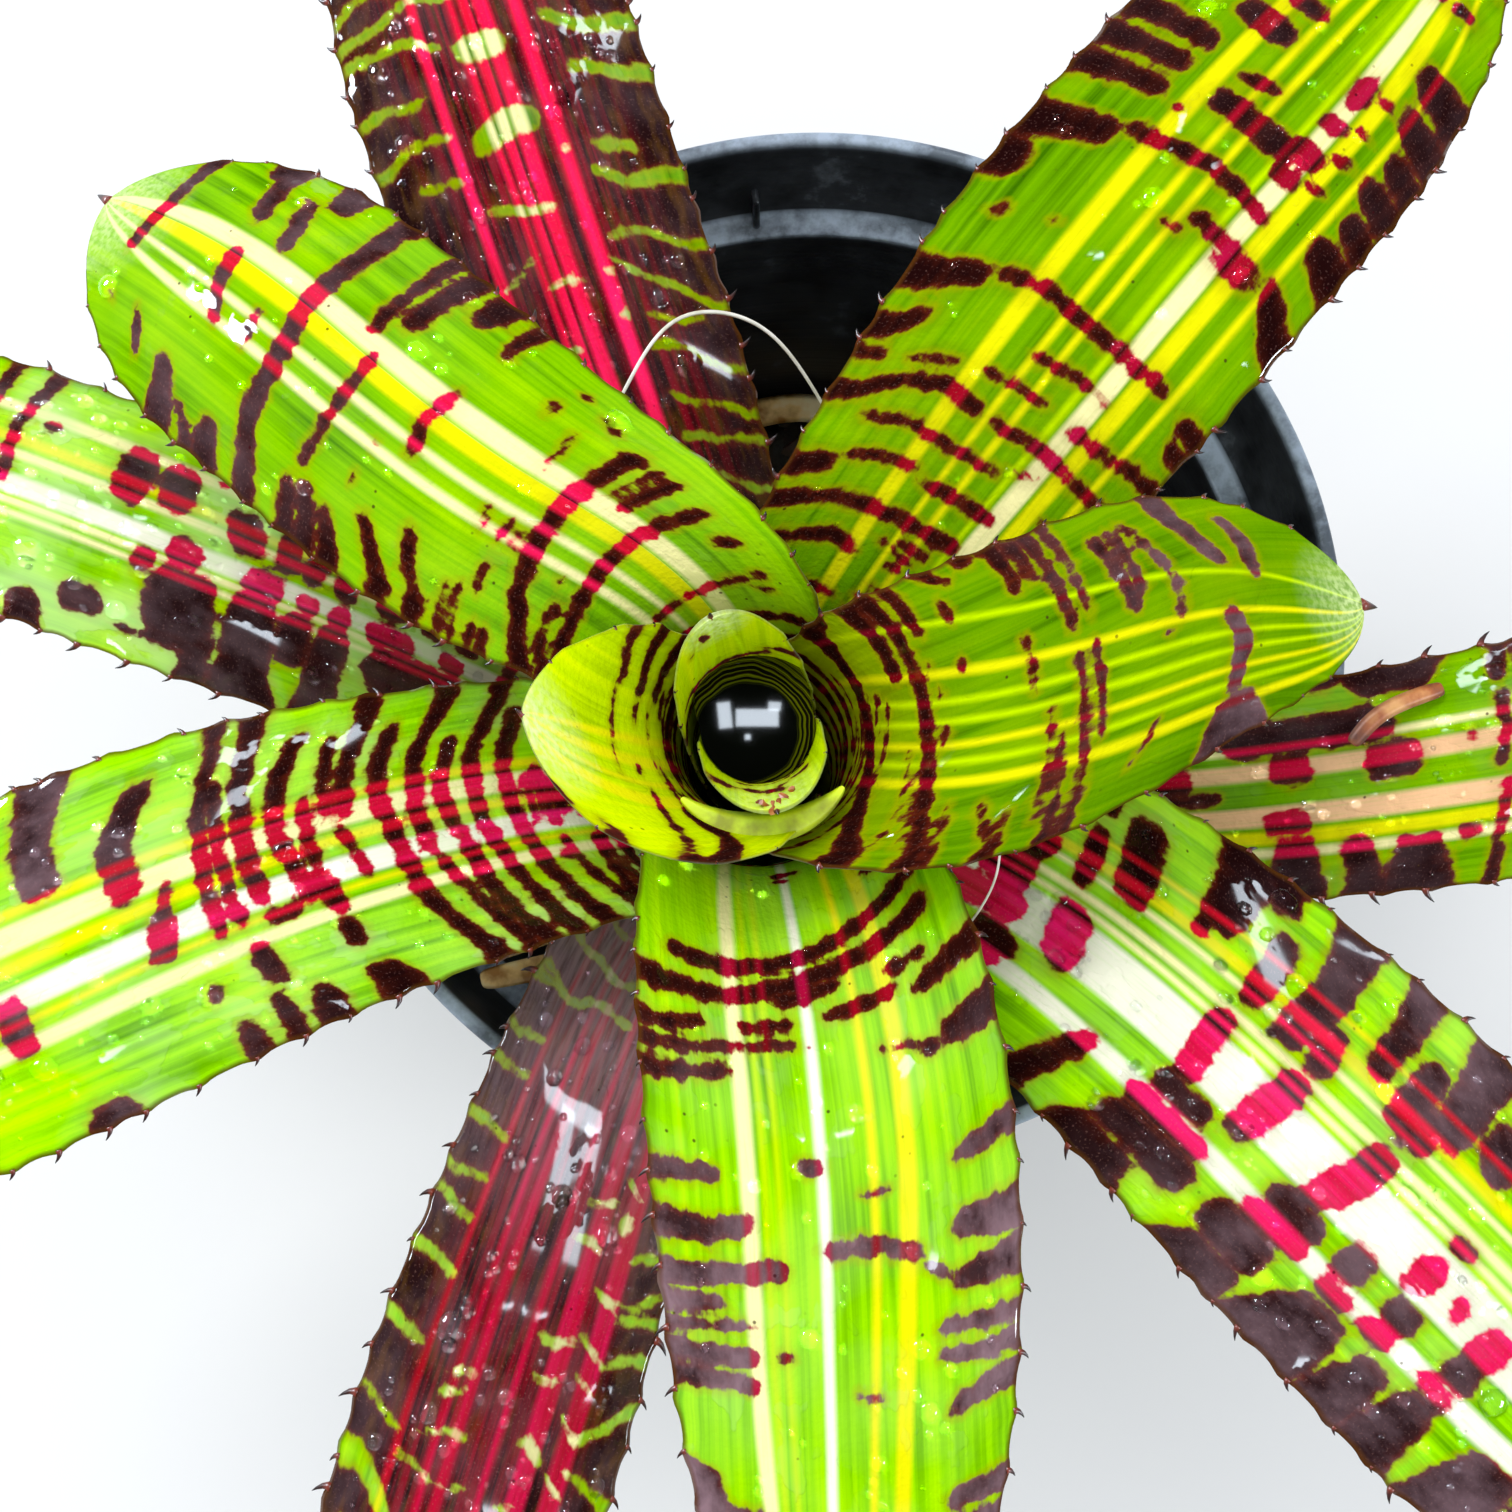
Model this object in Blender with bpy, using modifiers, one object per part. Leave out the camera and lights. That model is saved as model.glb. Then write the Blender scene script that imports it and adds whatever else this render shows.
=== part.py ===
"""A potted bromeliad: thirteen banded strap leaves in a rosette that holds water, in a black nursery pot.

The origin is the centre of the pot's underside, +Z is up and +Y is towards the back. Lengths are written in
millimetres and turned into metres where a mesh is made. Leaf 01 is the youngest and innermost, leaf 13 the oldest.
"""

import math
from collections import namedtuple

import bmesh
import bpy
import numpy as np
from mathutils import Matrix, Vector

MM = 0.001
GAP = 0.3

# Pot
POT_HEIGHT = 130.0
RIM_RADIUS = 85.0
RIM_WALL = 2.3
BAND_HEIGHT = 18.0
BAND_FOOT_RADIUS = 79.8
LEDGE_OUTER = 78.1
LEDGE_INNER = 74.4
LEDGE_THICK = 2.0
POT_WALL = 1.6
BASE_RADIUS = 62.0
BASE_CORNER = 3.0
FLOOR_THICK = 2.6
POT_STEPS = 48
DRAIN_HOLES = 8
DRAIN_RADIUS = 4.5
DRAIN_CIRCLE = 46.0
STACKING_RIBS = 8
RIB_AZIMUTH = 97.6
RIB_THICK = 1.2
RIB_HEIGHT = 10.0
RIB_DEPTH = 3.4
RIB_SUNK = 1.3
RIM_LIP = 0.7

# Potting mix
MIX_TOP = 50.0
MIX_ROUGHNESS = 1.6
MIX_RINGS = 9
MIX_EDGE_FADE = 4.0

# Plant
PLANT_X = -10.0
PLANT_Y = -24.0
STEM_FOOT = 18.0
STEM_RADIUS = 15.5
STEM_TOP = 120.0
STEM_TOP_RADIUS = 4.6
STEM_STEPS = 32

# Sheaths: each older leaf starts lower on the stem and wraps the ones inside it
YOUNGEST_BASE = 117.0
BASE_STEP = 4.8
YOUNGEST_NECK = (7.4, 152.0)
NECK_STEP = (1.7, -5.2)
WIDEST_WRAP = math.radians(128.0)
SHEATH_SWELL = 0.5

# Blades
WAIST = 0.74
LEAF_THICK = 0.8
LEAF_COLUMNS = 8
TOOTH_PITCH = 10.5
TOOTH_BASE = 2.6
TOOTH_LENGTH = 2.2
TOOTH_SWEEP = 1.2
TIP_SPINE = 3.6

# Water in the cup
WATER_LEVEL = 175.0
WATER_FOOT = 124.0
WATER_SHOULDER = 158.0
WATER_RADIUS = 6.4

Leaf = namedtuple("Leaf", "name width path spread arch round_tip shade")

# Each path lists (radius, azimuth, height) from the neck out: mm and degrees about the plant's own axis,
# height above the pot's underside. Spread is the run over which the blade widens from its neck, arch how far
# its margins drop below the midline, and round_tip the length of the rounded end, all in mm.
LEAVES = (
    Leaf("leaf_01", 30.0, ((7.6, 281, 170), (8.6, 281, 180), (10.8, 281, 187)), 20.0, 0.0, 18.0, "young"),
    Leaf("leaf_02", 33.0, ((9.8, 119, 168), (10.6, 119, 181), (13.0, 118, 192)), 20.0, 0.0, 26.0, "young"),
    Leaf("leaf_03", 44.0, ((12.0, 212, 166), (16, 212, 181), (22, 200, 192), (30, 184, 196)),
         20.0, 2.0, 22.0, "young"),
    Leaf("leaf_04", 44.0, ((14.0, 345, 165), (19, 350, 182), (36, 3, 194), (60, 14, 194), (84, 11, 179)),
         25.0, 7.0, 62.0, "banded"),
    Leaf("leaf_05", 45.0, ((15, 110, 160), (22, 124, 176), (44, 141, 187), (84, 139, 188), (126, 140, 164)),
         90.0, 6.0, 38.0, "banded"),
    Leaf("leaf_06", 50.0, ((16.5, 281, 156), (26, 282, 171), (52, 281, 182), (92, 277, 183), (136, 276, 168)),
         70.0, 3.0, 85.0, "banded"),
    Leaf("leaf_07", 50.0, ((18.5, 55, 150), (30, 53, 163), (60, 52, 179), (108, 51, 187), (162, 50, 174)),
         110.0, 4.0, 50.0, "banded"),
    Leaf("leaf_08", 49.0, ((20, 200, 142), (31, 195, 156), (62, 195, 168), (106, 199, 178), (160, 200, 171)),
         130.0, 4.0, 46.0, "banded"),
    Leaf("leaf_09", 53.0, ((22, 337, 138), (36, 334, 150), (70, 327, 165), (120, 321, 173), (176, 320, 166)),
         120.0, 3.0, 46.0, "banded"),
    Leaf("leaf_10", 45.0, ((24, 113, 130), (40, 113, 144), (75, 112, 158), (115, 111, 166), (162, 110, 160)),
         80.0, 3.0, 46.0, "dark"),
    Leaf("leaf_11", 39.0, ((27, 240, 124), (44, 243, 138), (72, 247, 148), (115, 249, 156), (168, 251, 149)),
         110.0, 3.0, 46.0, "dark"),
    Leaf("leaf_12", 36.0, ((29, 352, 118), (46, 353, 132), (78, 356, 146), (115, 0, 155), (162, 3, 149)),
         130.0, 3.0, 46.0, "olive"),
    Leaf("leaf_13", 38.0, ((31, 160, 112), (50, 160, 128), (80, 160, 145), (118, 160, 154), (168, 160, 145)),
         110.0, 3.0, 46.0, "olive"),
)

# Dead leaf: (x, y, height) along each strip in mm, and its width
DRY_LEAVES = (
    ("dry_leaf_1", 6.0, ((-26.0, 54.0, 50.4), (-14.0, 60.5, 54.0), (0.0, 63.0, 54.5), (9.5, 61.0, 50.8))),
    ("dry_leaf_2", 5.0, ((-23.3, -33.5, 54.0), (-38.0, -43.0, 92.0), (-48.0, -49.5, 118.0), (-59.0, -53.2, 124.5))),
    ("dry_leaf_3", 4.0, ((-18.0, -38.2, 53.0), (-34.0, -49.5, 92.0), (-44.0, -54.0, 116.0), (-54.6, -56.6, 121.5))),
)
DRY_THICK = 0.8

# Colours, as linear RGB with roughness
FINISHES = {
    "pot": ((0.012, 0.013, 0.015), 0.42),
    "mix": ((0.030, 0.017, 0.010), 0.95),
    "stem": ((0.240, 0.210, 0.070), 0.60),
    "young": ((0.330, 0.520, 0.020), 0.32),
    "banded": ((0.200, 0.440, 0.012), 0.30),
    "olive": ((0.150, 0.300, 0.020), 0.30),
    "dark": ((0.070, 0.014, 0.022), 0.28),
    "water": ((0.030, 0.035, 0.020), 0.03),
    "dry": ((0.560, 0.390, 0.180), 0.75),
}


def clear_scene():
    """Removes every object, so that the file holds only this model."""
    for obj in list(bpy.data.objects):
        bpy.data.objects.remove(obj, do_unlink=True)


def new_collection(name):
    """A collection of this name in the scene."""
    collection = bpy.data.collections.new(name)
    bpy.context.scene.collection.children.link(collection)
    return collection


def new_material(name, finish):
    """A Principled material with the colour and roughness of one of the finishes."""
    colour, roughness = FINISHES[finish]
    material = bpy.data.materials.new(name)
    material.use_nodes = True
    shader = material.node_tree.nodes["Principled BSDF"]
    shader.inputs["Base Color"].default_value = (*colour, 1.0)
    shader.inputs["Roughness"].default_value = roughness
    shader.inputs["Metallic"].default_value = 0.0
    material.diffuse_color = (*colour, 1.0)
    return material


def new_object(name, mesh, finish, collection):
    """An object of this mesh in the collection, with a material of its own."""
    obj = bpy.data.objects.new(name, mesh)
    obj.data.materials.append(new_material(f"{name}_surface", finish))
    collection.objects.link(obj)
    return obj


def turned(name, profile, steps, finish, collection):
    """Turns a profile of (radius, height) in mm about Z. It runs down the outer side, from top to bottom."""
    mesh = bpy.data.meshes.new(name)
    points = [(radius * MM, 0.0, height * MM) for radius, height in profile]
    edges = [(i, (i + 1) % len(points)) for i in range(len(points))]
    if profile[0][0] == 0.0 and profile[-1][0] == 0.0:
        edges.pop()
    mesh.from_pydata(points, edges, [])
    obj = new_object(name, mesh, finish, collection)
    screw = obj.modifiers.new("turn", "SCREW")
    screw.steps = steps
    screw.render_steps = steps
    screw.use_merge_vertices = True
    screw.merge_threshold = 0.00005
    screw.use_normal_calculate = True
    return obj


def baked(obj):
    """Replaces an object's mesh by its evaluated one, and drops its modifiers."""
    bpy.context.view_layer.update()
    graph = bpy.context.evaluated_depsgraph_get()
    mesh = bpy.data.meshes.new_from_object(obj.evaluated_get(graph))
    obj.modifiers.clear()
    obj.data = mesh
    return obj


def cutter_object(name, mesh, cutters):
    """A helper that is drawn as a wire and left out of the model."""
    obj = bpy.data.objects.new(name, mesh)
    obj.hide_render = True
    obj.display_type = "WIRE"
    cutters.objects.link(obj)
    return obj


def cut_or_join(obj, helper, operation):
    """Adds a Boolean of the helper to the object."""
    boolean = obj.modifiers.new(operation.lower(), "BOOLEAN")
    boolean.operation = operation
    boolean.solver = "EXACT"
    boolean.object = helper


def box_mesh(bm, size, matrix):
    """Adds a box of this size in mm at a matrix."""
    scale = Matrix.Diagonal((*(side * MM for side in size), 1.0))
    bmesh.ops.create_cube(bm, size=1.0, matrix=matrix @ scale)


def polar(radius, azimuth, height):
    """A point in metres, from mm and degrees about Z."""
    angle = math.radians(azimuth)
    return Vector((radius * math.cos(angle), radius * math.sin(angle), height)) * MM


def wall_inner(height):
    """Inner radius of the pot's tapered wall at a height, in mm."""
    ledge = POT_HEIGHT - BAND_HEIGHT - LEDGE_THICK
    foot = BASE_RADIUS - POT_WALL
    return foot + (LEDGE_INNER - foot) * height / ledge


def make_pot(collection, cutters):
    """The moulded pot: turned wall, rim band and floor, with stacking ribs joined on and drain holes cut."""
    band_foot = POT_HEIGHT - BAND_HEIGHT - LEDGE_THICK
    outer_step = LEDGE_INNER + POT_WALL
    profile = [
        (RIM_RADIUS - RIM_LIP, POT_HEIGHT),
        (RIM_RADIUS, POT_HEIGHT - RIM_LIP),
        (BAND_FOOT_RADIUS, band_foot),
        (outer_step, band_foot),
        (BASE_RADIUS, BASE_CORNER),
        (BASE_RADIUS - BASE_CORNER, 0.0),
        (0.0, 0.0),
        (0.0, FLOOR_THICK),
        (wall_inner(FLOOR_THICK) - BASE_CORNER, FLOOR_THICK),
        (wall_inner(FLOOR_THICK + BASE_CORNER), FLOOR_THICK + BASE_CORNER),
        (LEDGE_INNER, band_foot),
        (LEDGE_INNER, band_foot + LEDGE_THICK),
        (LEDGE_OUTER, band_foot + LEDGE_THICK),
        (RIM_RADIUS - RIM_WALL, POT_HEIGHT - RIM_LIP),
        (RIM_RADIUS - RIM_WALL + RIM_LIP / 2, POT_HEIGHT),
    ]
    pot = turned("pot", profile, POT_STEPS, "pot", collection)

    holes = bmesh.new()
    for i in range(DRAIN_HOLES):
        place = Matrix.Translation(polar(DRAIN_CIRCLE, 360.0 * i / DRAIN_HOLES, FLOOR_THICK / 2))
        bmesh.ops.create_cone(holes, cap_ends=True, segments=12, radius1=DRAIN_RADIUS * MM,
                              radius2=DRAIN_RADIUS * MM, depth=4 * FLOOR_THICK * MM, matrix=place)
    hole_mesh = bpy.data.meshes.new("drain_cutters")
    holes.to_mesh(hole_mesh)
    holes.free()

    ribs = bmesh.new()
    for i in range(STACKING_RIBS):
        azimuth = RIB_AZIMUTH + 360.0 * i / STACKING_RIBS
        foot = band_foot + LEDGE_THICK
        rib_centre = LEDGE_OUTER + RIB_SUNK - RIB_DEPTH / 2
        place = Matrix.Translation(polar(rib_centre, azimuth, foot + (RIB_HEIGHT - RIB_SUNK) / 2))
        turn = Matrix.Rotation(math.radians(azimuth), 4, "Z")
        box_mesh(ribs, (RIB_DEPTH, RIB_THICK, RIB_HEIGHT + RIB_SUNK), place @ turn)
    rib_mesh = bpy.data.meshes.new("stacking_ribs")
    ribs.to_mesh(rib_mesh)
    ribs.free()

    cut_or_join(pot, cutter_object("stacking_ribs", rib_mesh, cutters), "UNION")
    cut_or_join(pot, cutter_object("drain_cutters", hole_mesh, cutters), "DIFFERENCE")
    return pot


def hills(x, y):
    """Height of the rough top of the mix at a place, in mm: three crossed waves."""
    return MIX_ROUGHNESS * (
        0.5 * math.sin(0.21 * x + 0.4) * math.cos(0.17 * y)
        + 0.3 * math.sin(0.43 * x - 0.31 * y + 1.0)
        + 0.2 * math.sin(0.71 * y + 0.58 * x)
    )


def make_mix(collection, cutters):
    """The potting mix: a turned plug with a rough top, and a plain hole for the stem."""
    foot = FLOOR_THICK + GAP
    floor_edge = wall_inner(foot) - BASE_CORNER - 2 * GAP
    wall_foot = foot + BASE_CORNER + GAP
    edge = wall_inner(MIX_TOP) - 2 * GAP
    top = [(edge * ring / MIX_RINGS, MIX_TOP) for ring in range(MIX_RINGS + 1)]
    profile = top + [(wall_inner(wall_foot) - 2 * GAP, wall_foot), (floor_edge, foot), (0.0, foot)]
    mix = baked(turned("potting_mix", profile, POT_STEPS, "mix", collection))
    for vertex in mix.data.vertices:
        if vertex.co.z > (MIX_TOP - 1.0) * MM:
            x, y, _ = vertex.co / MM
            inward = min(1.0, (edge - math.hypot(x, y)) / MIX_EDGE_FADE)
            vertex.co.z += hills(x, y) * inward * MM
    bore = bmesh.new()
    depth = MIX_TOP
    place = Matrix.Translation(Vector((PLANT_X, PLANT_Y, STEM_FOOT - GAP + depth / 2)) * MM)
    bmesh.ops.create_cone(bore, cap_ends=True, segments=STEM_STEPS, radius1=(STEM_RADIUS + GAP) * MM,
                          radius2=(STEM_RADIUS + GAP) * MM, depth=depth * MM, matrix=place)
    bore_mesh = bpy.data.meshes.new("stem_hole")
    bore.to_mesh(bore_mesh)
    bore.free()
    cut_or_join(mix, cutter_object("stem_hole", bore_mesh, cutters), "DIFFERENCE")
    return mix


def stem_radius(height):
    """Radius of the stem at a height, in mm: a cylinder in the mix and a cone above it."""
    share = (height - MIX_TOP) / (STEM_TOP - MIX_TOP)
    return STEM_RADIUS + (STEM_TOP_RADIUS - STEM_RADIUS) * min(1.0, max(0.0, share))


def make_stem(collection):
    """The short stock that carries the leaves, standing in the hole in the mix."""
    profile = [
        (0.0, STEM_TOP + 1.5),
        (STEM_TOP_RADIUS * 0.6, STEM_TOP + 1.0),
        (STEM_TOP_RADIUS, STEM_TOP - 1.0),
        (STEM_RADIUS, MIX_TOP),
        (STEM_RADIUS, STEM_FOOT + 6.0),
        (STEM_RADIUS * 0.6, STEM_FOOT),
        (0.0, STEM_FOOT),
    ]
    stem = turned("stem", profile, STEM_STEPS, "stem", collection)
    stem.location = Vector((PLANT_X, PLANT_Y, 0.0)) * MM
    return stem


def spline(points, places):
    """A uniform cubic B-spline that starts and ends on the first and last point, at places from 0 to 1."""
    held = np.vstack([points[:1], points[:1], points, points[-1:], points[-1:]])
    spans = len(held) - 3
    along = np.clip(places, 0.0, 1.0) * spans
    span = np.minimum(along.astype(int), spans - 1)
    t = (along - span)[:, None]
    weights = ((1 - t) ** 3, 3 * t**3 - 6 * t**2 + 4, -3 * t**3 + 3 * t**2 + 3 * t + 1, t**3)
    return sum(weight * held[span + i] for i, weight in enumerate(weights)) / 6


def midline(leaf, layer):
    """A leaf's midline from its foot on the stem to its tip: radius, azimuth, height and distance run."""
    base_height = YOUNGEST_BASE - BASE_STEP * layer
    base_radius = stem_radius(base_height) + 2 * GAP + LEAF_THICK / 2
    neck_radius = YOUNGEST_NECK[0] + NECK_STEP[0] * layer
    neck_height = YOUNGEST_NECK[1] + NECK_STEP[1] * layer
    start = leaf.path[0][1]
    middle = (base_radius + 0.7 * (neck_radius - base_radius), start, (base_height + neck_height) / 2)
    control = np.array([(base_radius, start, base_height), middle, (neck_radius, start, neck_height), *leaf.path])
    # Azimuths are kept within half a turn of the first, so that the path never runs the long way round.
    control[:, 1] = start + (control[:, 1] - start + 180.0) % 360.0 - 180.0
    fine = spline(control, np.linspace(0.0, 1.0, 600))
    angle = np.radians(fine[:, 1])
    places = np.column_stack([fine[:, 0] * np.cos(angle), fine[:, 0] * np.sin(angle), fine[:, 2]])
    run = np.concatenate([[0.0], np.cumsum(np.linalg.norm(np.diff(places, axis=0), axis=1))])
    return fine, run


def stations(length, sheath, round_tip):
    """Distances along a leaf of its cross rows: few on the sheath, one a tooth on the blade, closer at the tip."""
    lower = np.linspace(0.0, sheath, 4)
    end = length - 0.45 * round_tip
    blade = np.linspace(sheath, end, 1 + max(2, round((end - sheath) / TOOTH_PITCH)))
    left = length - end
    tip = length - left * np.array([0.6, 0.34, 0.14, 0.03])
    return np.concatenate([lower, blade[1:], tip])


def half_width(leaf, place, length, sheath):
    """Half the leaf's width in mm: a swollen sheath, a waist at the neck, a blade that widens again from there,
    and an end rounded like an ellipse."""
    swell = SHEATH_SWELL * np.exp(-(((place - 0.5 * sheath) / (0.5 * sheath)) ** 2))
    grown = np.clip((place - sheath) / leaf.spread, 0.0, 1.0)
    blade = WAIST + (1.0 - WAIST) * grown**2 * (3.0 - 2.0 * grown)
    left = np.clip((length - place) / leaf.round_tip, 0.0, 1.0)
    return leaf.width / 2 * (blade + swell) * (1.0 - (1.0 - left) ** 1.8) ** 0.45


def leaf_rows(leaf, layer):
    """The leaf's rows of points in mm. Across a row the angle turns by the distance over the radius, so that
    the sheath wraps round the cup and the blade lies flat. The arch grows from the neck out."""
    fine, run = midline(leaf, layer)
    length = run[-1]
    neck_height = YOUNGEST_NECK[1] + NECK_STEP[1] * layer
    sheath = np.interp(neck_height, fine[:200, 2], run[:200])
    place = stations(length, sheath, leaf.round_tip)
    radius, azimuth, height = (np.interp(place, run, fine[:, i])[:, None] for i in range(3))
    half = half_width(leaf, place, length, sheath)[:, None]
    half = np.minimum(half, WIDEST_WRAP * radius)
    across = np.linspace(-1.0, 1.0, LEAF_COLUMNS + 1)[None, :]
    grown = np.clip((radius - 12.0 - NECK_STEP[0] * layer) / 26.0, 0.0, 1.0)
    flat = half / (leaf.width / 2)
    angle = np.radians(azimuth) + across * half / radius
    drop = grown * flat**2 * leaf.arch * across**2
    points = np.stack([
        PLANT_X + radius * np.cos(angle),
        PLANT_Y + radius * np.sin(angle),
        height - drop,
    ], axis=-1)
    return points, place, sheath, length


def add_tooth(bm, inner, start, end):
    """Three vertices of a tooth on a margin from start to end: its two feet and its point, swept forward."""
    along = end.co - start.co
    outward = (start.co + end.co - inner[0].co - inner[1].co) / 2
    outward -= outward.project(along)
    outward.normalize()
    step = along.normalized()
    middle = (start.co + end.co) / 2
    foot = step * TOOTH_BASE / 2 * MM
    point = middle + outward * TOOTH_LENGTH * MM + step * TOOTH_SWEEP * MM
    return [bm.verts.new(middle - foot), bm.verts.new(point), bm.verts.new(middle + foot)]


def make_leaf(leaf, layer, collection):
    """One leaf: its open sheet, with toothed margins and a tip spine, split into triangles and thickened."""
    points, place, sheath, length = leaf_rows(leaf, layer)
    bm = bmesh.new()
    rows = [[bm.verts.new(Vector(point) * MM) for point in row] for row in points]
    for i in range(len(rows) - 1):
        here, there = rows[i], rows[i + 1]
        toothed = place[i] > sheath and place[i + 1] < length - 0.1 * leaf.round_tip
        for j in range(LEAF_COLUMNS):
            left, right = [], []
            if toothed and j == 0:
                left = add_tooth(bm, (here[1], there[1]), here[0], there[0])
            if toothed and j == LEAF_COLUMNS - 1:
                right = add_tooth(bm, (here[j], there[j]), here[j + 1], there[j + 1])
            bm.faces.new([here[j], here[j + 1], *right, there[j + 1], there[j], *reversed(left)])
    last = rows[-1]
    middle = LEAF_COLUMNS // 2
    forward = (last[middle].co - rows[-3][middle].co).normalized()
    spine = bm.verts.new(last[middle].co + forward * TIP_SPINE * MM)
    for j in range(LEAF_COLUMNS):
        bm.faces.new([last[j], last[j + 1], spine])
    bmesh.ops.triangulate(bm, faces=bm.faces[:], quad_method="BEAUTY", ngon_method="BEAUTY")
    mesh = bpy.data.meshes.new(leaf.name)
    bm.to_mesh(mesh)
    bm.free()
    obj = new_object(leaf.name, mesh, leaf.shade, collection)
    wall = obj.modifiers.new("thickness", "SOLIDIFY")
    wall.thickness = LEAF_THICK * MM
    wall.offset = 0.0
    obj.data.shade_smooth()
    return obj


def make_water(collection):
    """The water that stands in the tube of the youngest leaves."""
    profile = [(0.0, WATER_LEVEL), (WATER_RADIUS, WATER_LEVEL), (WATER_RADIUS, WATER_SHOULDER),
               (STEM_TOP_RADIUS, WATER_FOOT), (0.0, WATER_FOOT)]
    water = turned("tank_water", profile, STEM_STEPS, "water", collection)
    water.location = Vector((PLANT_X, PLANT_Y, 0.0)) * MM
    return water


def make_dry_leaf(name, width, path, collection):
    """A strip of dead leaf along its path, narrow at both ends and cupped a little across."""
    places = np.linspace(0.0, 1.0, 11)
    line = spline(np.array(path), places)
    along = np.gradient(line, axis=0)
    side = np.cross((0.0, 0.0, 1.0), along)
    side /= np.linalg.norm(side, axis=1)[:, None]
    half = width / 2 * np.clip(4.0 * (1.0 - places), 0.25, 1.0) ** 0.5
    bm = bmesh.new()
    rows = []
    for point, sideways, reach in zip(line, side, half):
        rows.append([
            bm.verts.new(Vector(point + sideways * reach * u + np.array((0.0, 0.0, 0.35 * u * u))) * MM)
            for u in (-1.0, 0.0, 1.0)
        ])
    for here, there in zip(rows[:-1], rows[1:]):
        for j in range(2):
            bm.faces.new([here[j], there[j], there[j + 1], here[j + 1]])
    bmesh.ops.triangulate(bm, faces=bm.faces[:])
    mesh = bpy.data.meshes.new(name)
    bm.to_mesh(mesh)
    bm.free()
    obj = new_object(name, mesh, "dry", collection)
    wall = obj.modifiers.new("thickness", "SOLIDIFY")
    wall.thickness = DRY_THICK * MM
    wall.offset = 0.0
    return obj


def main():
    clear_scene()
    model = new_collection("bromeliad")
    cutters = new_collection("cutters")
    cutters.hide_render = True
    make_pot(model, cutters)
    make_mix(model, cutters)
    make_stem(model)
    for layer, leaf in enumerate(LEAVES):
        make_leaf(leaf, layer, model)
    make_water(model)
    for name, width, path in DRY_LEAVES:
        make_dry_leaf(name, width, path, model)


main()
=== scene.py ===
# %% [markdown]
# # A bromeliad in a nursery pot
#
# The plant is a rosette: thirteen strap leaves wrap one another round a short stem, and the youngest ones
# make a cup that holds rain water. Each leaf is green with cream and yellow stripes along it and dark bands
# across it. Where a band crosses a pale stripe there is no green under its red pigment, so it shows crimson.
#
# The leaves' shapes repeat the formula of the solid model, on a finer grid. Their stripes and bands are
# placed one by one, in millimetres along each leaf and in shares of its half width across, and the shader breaks
# up their edges.

# %% Load the frame
import math
from collections import namedtuple
from types import SimpleNamespace

import bpy
import numpy as np
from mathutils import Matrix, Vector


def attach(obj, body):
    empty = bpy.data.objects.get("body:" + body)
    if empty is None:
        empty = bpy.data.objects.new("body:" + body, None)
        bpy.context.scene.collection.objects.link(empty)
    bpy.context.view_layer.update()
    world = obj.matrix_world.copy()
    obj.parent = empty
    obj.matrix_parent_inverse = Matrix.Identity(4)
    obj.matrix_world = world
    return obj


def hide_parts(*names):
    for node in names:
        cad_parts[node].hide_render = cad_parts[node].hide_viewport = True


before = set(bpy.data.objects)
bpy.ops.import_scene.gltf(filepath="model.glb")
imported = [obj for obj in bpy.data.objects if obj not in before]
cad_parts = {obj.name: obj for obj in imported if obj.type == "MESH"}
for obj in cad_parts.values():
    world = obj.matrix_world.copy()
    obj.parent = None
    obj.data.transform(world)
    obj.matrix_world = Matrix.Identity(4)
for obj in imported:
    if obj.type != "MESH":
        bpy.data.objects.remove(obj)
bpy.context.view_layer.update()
MM = 0.001

# %% [markdown]
# ## The camera
#
# The photo looks almost straight down into the cup. The pot's rim and its inner ledge are circles at known
# heights, so fitting both gives the camera: 316 mm above the rim, tilted back by 8.75 degrees. Its focal
# length is 2000 pixels on a square photo of 1512. Blender wants that as millimetres on a sensor 36 mm wide.

# %% Camera
PHOTO_SIDE_PX = 1512
FOCAL_PX = 2000
SENSOR_MM = 36.0
EYE_MM = (-10.2, -69.9, 445.9)
TILT_DEGREES = 8.75

camera_data = bpy.data.cameras.new("camera")
camera_data.sensor_width = SENSOR_MM
camera_data.lens = SENSOR_MM * FOCAL_PX / PHOTO_SIDE_PX
camera = bpy.data.objects.new("camera", camera_data)
camera.location = [value * MM for value in EYE_MM]
camera.rotation_euler = (math.radians(TILT_DEGREES), 0.0, 0.0)
bpy.context.collection.objects.link(camera)
bpy.context.scene.camera = camera
print("lens:", round(camera_data.lens, 1), "mm")

# %% [markdown]
# ## The studio
#
# The real plant stood under a pale, even sky. A white world lights everything evenly, and one large softbox
# behind and above the plant shapes the leaves and gives the floor its soft shadow. Neither shows in anything
# glossy. What the wet film and the water mirror is a set of panes that light nothing else: six for the
# leaves, and four small ones high up for the bright marks in the cup. The colours stay as vivid as they are
# in the photo with the Standard view, because the default one washes out strong greens and pinks.

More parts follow.
